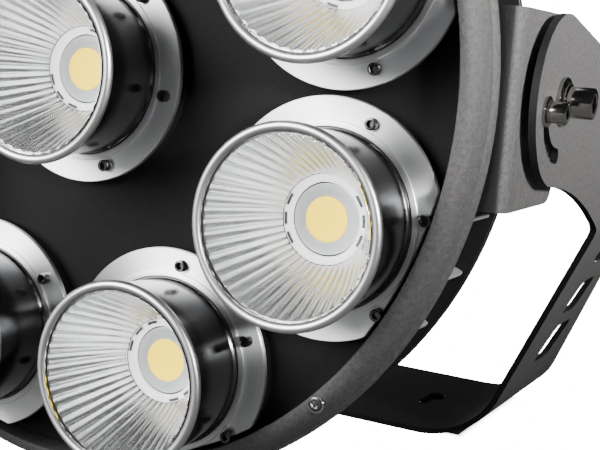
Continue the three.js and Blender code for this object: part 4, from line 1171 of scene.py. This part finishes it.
class FLOOD_OT_stage(bpy.types.Operator):
    """Camera, pale floor and soft studio light"""

    bl_idname = "flood.stage"
    bl_label = "Stage"

    def execute(self, context):
        stage = context.scene.flood_stage
        camera = new_object("camera", bpy.data.cameras.new("camera"))
        camera.data.lens, camera.data.sensor_width = stage.lens, 36.0
        heading, dip = stage.camera_heading, stage.camera_dip
        level = math.cos(dip)
        forward = Vector((-math.sin(heading) * level, math.cos(heading) * level, -math.sin(dip)))
        turn = forward.to_track_quat("-Z", "Y").to_matrix() @ Matrix.Rotation(stage.camera_roll, 3, "Z")
        camera.matrix_world = Matrix.Translation(stage.camera_place) @ turn.to_4x4()
        context.scene.camera = camera
        self.add_floor(stage)
        self.add_world(stage)
        for name, values in AREA_LIGHTS.items():
            add_area(name, *values)
        return {"FINISHED"}

    def add_floor(self, stage):
        """Matt floor that glows to the camera, apart from a painted shadow under the yoke's base: the glow
        comes in where |x| or |y| grows past the base's half sizes, less a small inset."""
        roughness = 0.8
        material, tree, shader = new_finish("floor", stage.floor_colour, roughness, 0.0)
        feed(tree, shader, {"Roughness": marked(tree, roughness, 1.5, 0.05)})
        place = node(tree, "SeparateXYZ", {0: object_place(tree)}).outputs
        # Painted shadow: the floor's glow is left out under the base
        half_sizes = (BASE_HALF_LENGTH * MM, (BASE_REAR - BASE_FRONT) / 2 * MM)
        past = [calc(tree, "SUBTRACT", calc(tree, "ABSOLUTE", place[axis]), half - SHADE_INSET)
                for axis, half in enumerate(half_sizes)]
        glow = ramp(tree, calc(tree, "MAXIMUM", *past), 0.0, SHADE_FADE, top=stage.backdrop)
        seen = node(tree, "Emission", {"Strength": glow})
        share = calc(tree, "MULTIPLY", camera_ray(tree), FLOOR_SHARE)
        camera_sees(tree, share, shader, seen, "Material Output")
        half = FLOOR_HALF_SIZE
        mesh = bpy.data.meshes.new("floor")
        corners = [(x, y, -FLOOR_DROP) for x, y in rectangle(-half, half, -half, half)]
        mesh.from_pydata(corners, [], [(0, 1, 2, 3)])
        mesh.materials.append(material)
        floor = new_object("floor", mesh)

    def add_world(self, stage):
        """White to the camera; to the object, a dim room with broad soft lobes of light: for each lobe,
        strength times the smoothed share of cos(angle from the lobe's middle) between its two limits."""
        world = bpy.data.worlds.new("studio")
        bpy.context.scene.world = world
        world.use_nodes = True
        tree = world.node_tree
        seen = tree.nodes["Background"]
        feed(tree, seen, {"Color": (1, 1, 1, 1), "Strength": stage.backdrop})
        way = node(tree, "TexCoord").outputs["Generated"]
        total = stage.surroundings
        for direction, start, end, strength in SOFT_LOBES:
            aim = Vector(direction).normalized()
            share = node(tree, "VectorMath", {0: way, 1: aim}, operation="DOT_PRODUCT")
            lobe = ramp(tree, share.outputs["Value"], start, end, strength, "SMOOTHSTEP")
            total = calc(tree, "ADD", total, lobe)
        lit = node(tree, "Background", {"Color": (1, 1, 1, 1), "Strength": total})
        camera_sees(tree, camera_ray(tree), lit, seen, "World Output")


class FLOOD_PT_panel(bpy.types.Panel):
    """Settings and steps of the flood light"""

    bl_idname = "FLOOD_PT_panel"
    bl_label = "Flood light"
    bl_space_type = "VIEW_3D"
    bl_region_type = "UI"
    bl_category = "Flood light"

    def draw(self, context):
        for name in SETTINGS:
            settings, area = getattr(context.scene, name), self.layout.box()
            for key in settings.__annotations__:
                area.prop(settings, key)
        for operator in OPERATORS:
            self.layout.operator(operator.bl_idname)


OPERATORS = (
    FLOOD_OT_stage,
    FLOOD_OT_flanges,
    FLOOD_OT_cups,
    FLOOD_OT_reflectors,
    FLOOD_OT_light_sources,
    FLOOD_OT_glasses,
    FLOOD_OT_ring,
    FLOOD_OT_plate,
    FLOOD_OT_heat_sink,
    FLOOD_OT_housing,
    FLOOD_OT_gland,
    FLOOD_OT_ears,
    FLOOD_OT_bolts,
    FLOOD_OT_yoke,
)
SETTINGS = {"flood_module": FloodLightModule, "flood_head": FloodLightHead, "flood_stage": FloodLightStage}


def register():
    for group in (*SETTINGS.values(), *OPERATORS, FLOOD_PT_panel):
        bpy.utils.register_class(group)
    for name, group in SETTINGS.items():
        setattr(bpy.types.Scene, name, PointerProperty(type=group))


def unregister():
    for name in SETTINGS:
        delattr(bpy.types.Scene, name)
    for group in reversed((*SETTINGS.values(), *OPERATORS, FLOOD_PT_panel)):
        bpy.utils.unregister_class(group)


def main():
    register()
    for operator in OPERATORS:
        group, name = operator.bl_idname.split(".")
        getattr(getattr(bpy.ops, group), name)()


if __name__ == "__main__":
    main()
